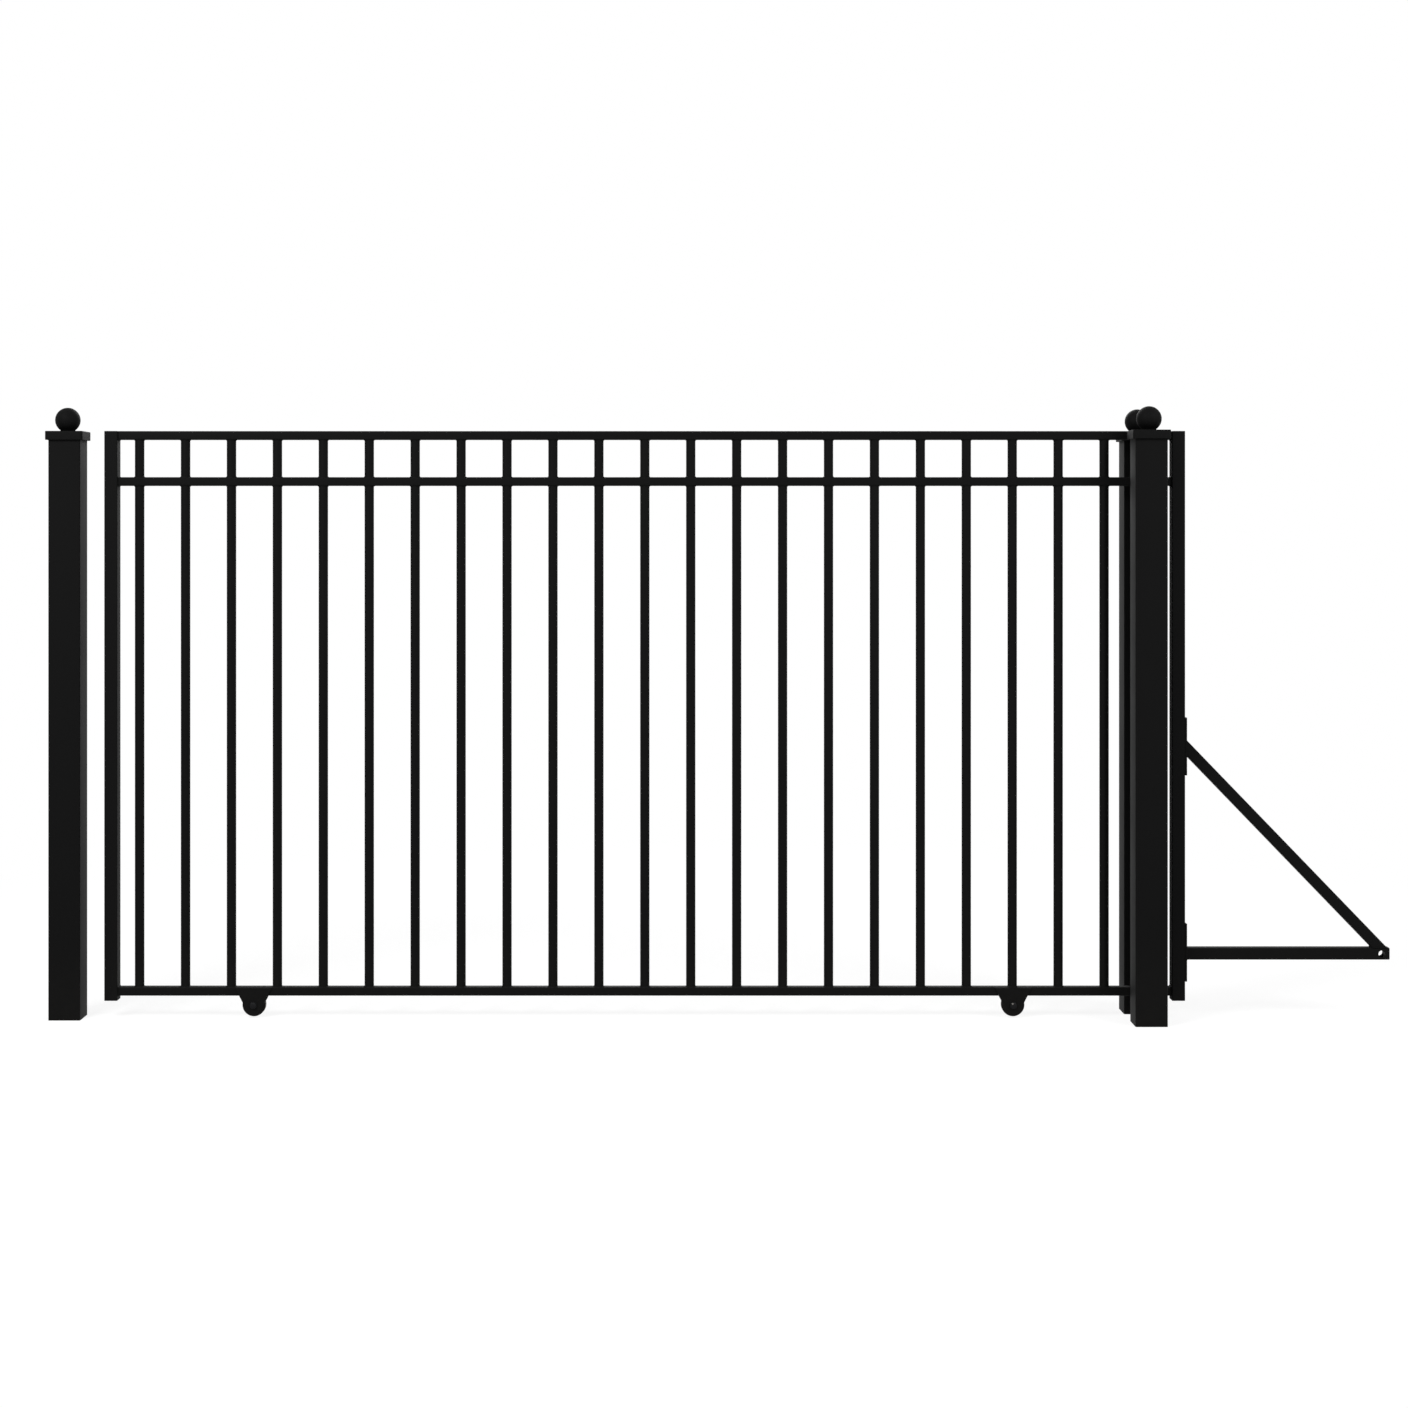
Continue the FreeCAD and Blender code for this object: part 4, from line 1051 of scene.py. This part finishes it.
# %% Tube plugs
PLUG_HEAD = 3 * MM
PLUG_LEG = 10 * MM
PLUG_EDGE = 1.4 * MM
TUBE_SPACING = 3 * MM
UPRIGHT_CORNER = 3 * MM
UPRIGHT_LEG_INSET = 2.9 * MM
TAIL_CORNER = 4 * MM
TAIL_LEG_INSET = 2.8 * MM
towards_tail = Matrix.Rotation(QUARTER_TURN, 4, "Y")


def add_plug(bm, half_across, half_up, corner, leg_inset, place):
    """A plug that stands on the end of a tube, with its leg inside."""
    outline = rounded_rectangle(half_across, half_up, corner, TUBE_SPACING)
    levels = [(leg_inset, -PLUG_LEG), (leg_inset, 0), (0, 0), *rounded_over(PLUG_EDGE, PLUG_HEAD)]
    stack(bm, outline, levels, place)


bm = bmesh.new()
for upright in ("leading_upright", "trailing_upright"):
    low, high, centre, half = box_of(upright)
    for level, turn_to in ((high.z, upwards), (low.z, downwards)):
        place = Matrix.Translation((centre.x, centre.y, level)) @ turn_to
        add_plug(bm, half.x, half.y, UPRIGHT_CORNER, UPRIGHT_LEG_INSET, place)
add_piece("upright_plugs", bm, moulded_polyethylene, "leaf", ["upright_end_plugs"])

bm = bmesh.new()
bar_low, bar_high, bar_centre, bar_half = box_of("tail_bar")
tail_end = Matrix.Translation((bar_high.x, 0, bar_centre.z)) @ towards_tail
add_plug(bm, bar_half.z, bar_half.y, TAIL_CORNER, TAIL_LEG_INSET, tail_end)
add_piece("tail_plug", bm, moulded_polyethylene, "leaf", ["tail_end_plug"])

# %% [markdown]
# Beads join the rails to the uprights. The top of the top rail is ground flush in the factory, so
# its bead runs round three sides only. The seam is the outline of the rail's end, with one leg out
# along the upright and one along the rail.

# %% Frame welds
FRAME_LEG = 3 * MM
SEAM_SPACING = 1.6 * MM
# A point that faces up by more than this share is on the side that is ground flush
GROUND_FLUSH = 0.6


def tube_seam(half_across, half_up, corner, centre, along):
    """A seam round a tube whose end stands on a flat face across X, with a leg along the tube."""
    seam = []
    for point, outward in rounded_rectangle(half_across, half_up, corner, SEAM_SPACING):
        place = centre + Vector((0, *point))
        seam.append((place, Vector((0, *outward)) * FRAME_LEG, along * FRAME_LEG))
    return seam


bm = bmesh.new()
for rail in ("top_rail", "middle_rail", "bottom_rail"):
    low, high, centre, half = box_of(rail)
    for x, along in ((low.x, Vector((1, 0, 0))), (high.x, Vector((-1, 0, 0)))):
        seam = tube_seam(half.y, half.z, RAIL_CORNER, Vector((x, 0, centre.z)), along)
        if rail == "top_rail":
            kept = [step for step in seam if step[1].z < GROUND_FLUSH * FRAME_LEG]
            weld(bm, kept, closed=False)
        else:
            weld(bm, seam)
add_piece("rail_welds", bm, satin_powder_coat, "leaf")

# %% [markdown]
# The brace of the tail is square tube like the bar, but the CAD leaves its edges sharp. It is drawn
# again with rolled corners. Each point of the tube's outline runs down the slope until it meets the
# plate at the head and the bar at the foot, which is what a saw does when it cuts the two mitres.

# %% Tail brace
BRACE_ANGLE = math.radians(46)
BRACE_HALF = 17.5 * MM
BRACE_CORNER = 3 * MM

brace_low, brace_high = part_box("tail_brace")
down_brace = Vector((math.cos(BRACE_ANGLE), 0, -math.sin(BRACE_ANGLE)))
up_brace = Vector((math.sin(BRACE_ANGLE), 0, math.cos(BRACE_ANGLE)))
half_up = BRACE_HALF / math.cos(BRACE_ANGLE)
half_along = BRACE_HALF / math.sin(BRACE_ANGLE)
head = Vector((brace_low.x, 0, brace_high.z - half_up))
foot = Vector((brace_high.x - half_along, 0, brace_low.z))
bm = bmesh.new()
at_head, at_foot = [], []
for point, _ in rounded_rectangle(BRACE_HALF, BRACE_HALF, BRACE_CORNER, TUBE_SPACING):
    edge = head + Vector((0, point.x, 0)) + up_brace * point.y
    at_head.append(edge + down_brace * ((head.x - edge.x) / down_brace.x))
    at_foot.append(edge + down_brace * ((foot.z - edge.z) / down_brace.z))
skin(bm, [at_head, at_foot])
add_piece("tail_brace_tube", bm, satin_powder_coat, "leaf", ["tail_brace"])

# %% [markdown]
# Three beads hold the tail together: the bar on its plate, the head of the brace on the other
# plate, and the foot of the brace on top of the bar. The brace meets both at a slant, so its
# outline there is longer than the tube is wide, and the second leg of the bead lies along the
# slope.

# %% Tail welds
bm = bmesh.new()
bar_start = Vector((bar_low.x, 0, bar_centre.z))
weld(bm, tube_seam(bar_half.y, bar_half.z, TAIL_CORNER, bar_start, Vector((1, 0, 0))))
weld(bm, tube_seam(BRACE_HALF, half_up, BRACE_CORNER, head, down_brace))
seam = []
for point, outward in rounded_rectangle(half_along, BRACE_HALF, BRACE_CORNER, SEAM_SPACING):
    out_leg = Vector((*outward, 0)) * FRAME_LEG
    seam.append((foot + Vector((*point, 0)), out_leg, -down_brace * FRAME_LEG))
weld(bm, seam)
add_piece("tail_welds", bm, satin_powder_coat, "leaf")

# %% [markdown]
# Each ear of a wheel's bracket is welded to the face of the bottom rail along its top edge. The
# bead lies on that edge, so one leg leans up the rail and the other runs out over the ear's
# thickness.

# %% Ear welds
EAR_THICKNESS = 4 * MM
EAR_TOP_HALF = 58 * MM
EAR_BEAD_ROOT = 0.4 * MM
EAR_BEAD_LEAN = 0.8 * MM
EAR_BEAD_RISE = 2.2 * MM
EAR_BEAD_REACH = 3 * MM

seam_steps = round(2 * EAR_TOP_HALF / SEAM_SPACING)
bm = bmesh.new()
for ears in ("leading_wheel_bracket", "trailing_wheel_bracket"):
    _, high, centre, _ = box_of(ears)
    seam_start = centre.x - EAR_TOP_HALF
    for side in (-1, 1):
        face = side * (high.y - EAR_THICKNESS)
        up_rail = Vector((0, -side * EAR_BEAD_LEAN, EAR_BEAD_RISE))
        over_ear = Vector((0, side * EAR_BEAD_REACH, 0))
        seam = []
        for step in range(seam_steps + 1):
            x = seam_start + 2 * EAR_TOP_HALF * step / seam_steps
            seam.append((Vector((x, face - side * EAR_BEAD_ROOT, high.z)), up_rail, over_ear))
        weld(bm, seam, closed=False)
add_piece("ear_welds", bm, satin_powder_coat, "leaf")

# %% [markdown]
# The tail is bolted on, so that it can be left off where a gate is pushed by hand. Its plates take
# raised countersunk screws, four to a plate: only a low dome with a hexagon socket stands above the
# plate. The dome is a row of rings, and the last two rings are six-sided, for the socket's rim and
# floor.

# %% Plate screws
SCREW_RADIUS = 6.5 * MM
SCREW_PROUD = 1.2 * MM
SCREW_DOME = ((1.0, 0.0), (0.9, 0.45), (0.72, 0.8), (0.5, 1.0))
SOCKET_RADIUS = 2.9 * MM
SOCKET_FLOOR = 0.1 * MM
SCREW_FROM_SIDE = 13 * MM
SCREW_FROM_END = 14 * MM


def add_screw(bm, place):
    """A low dome, given as shares of the screw's radius and height, with a six-sided socket."""
    round_steps = angles(HEX_SIDES * HEX_STEPS)
    rings = []
    for out, up in SCREW_DOME:
        rings.append([around(SCREW_RADIUS * out, angle, SCREW_PROUD * up) for angle in round_steps])
    flats = 2 * SOCKET_RADIUS * math.cos(SIXTH_TURN / 2)
    for height in (SCREW_PROUD, SOCKET_FLOOR):
        rings.append([around(hex_radius(flats, angle), angle, height) for angle in round_steps])
    skin(bm, rings, place)


bm = bmesh.new()
for plate in ("tail_upper_plate", "tail_lower_plate"):
    low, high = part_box(plate)
    for y in (low.y + SCREW_FROM_SIDE, high.y - SCREW_FROM_SIDE):
        for z in (low.z + SCREW_FROM_END, high.z - SCREW_FROM_END):
            add_screw(bm, Matrix.Translation((high.x, y, z)) @ towards_tail)
add_piece("tail_plate_screws", bm, black_zinc, "leaf")
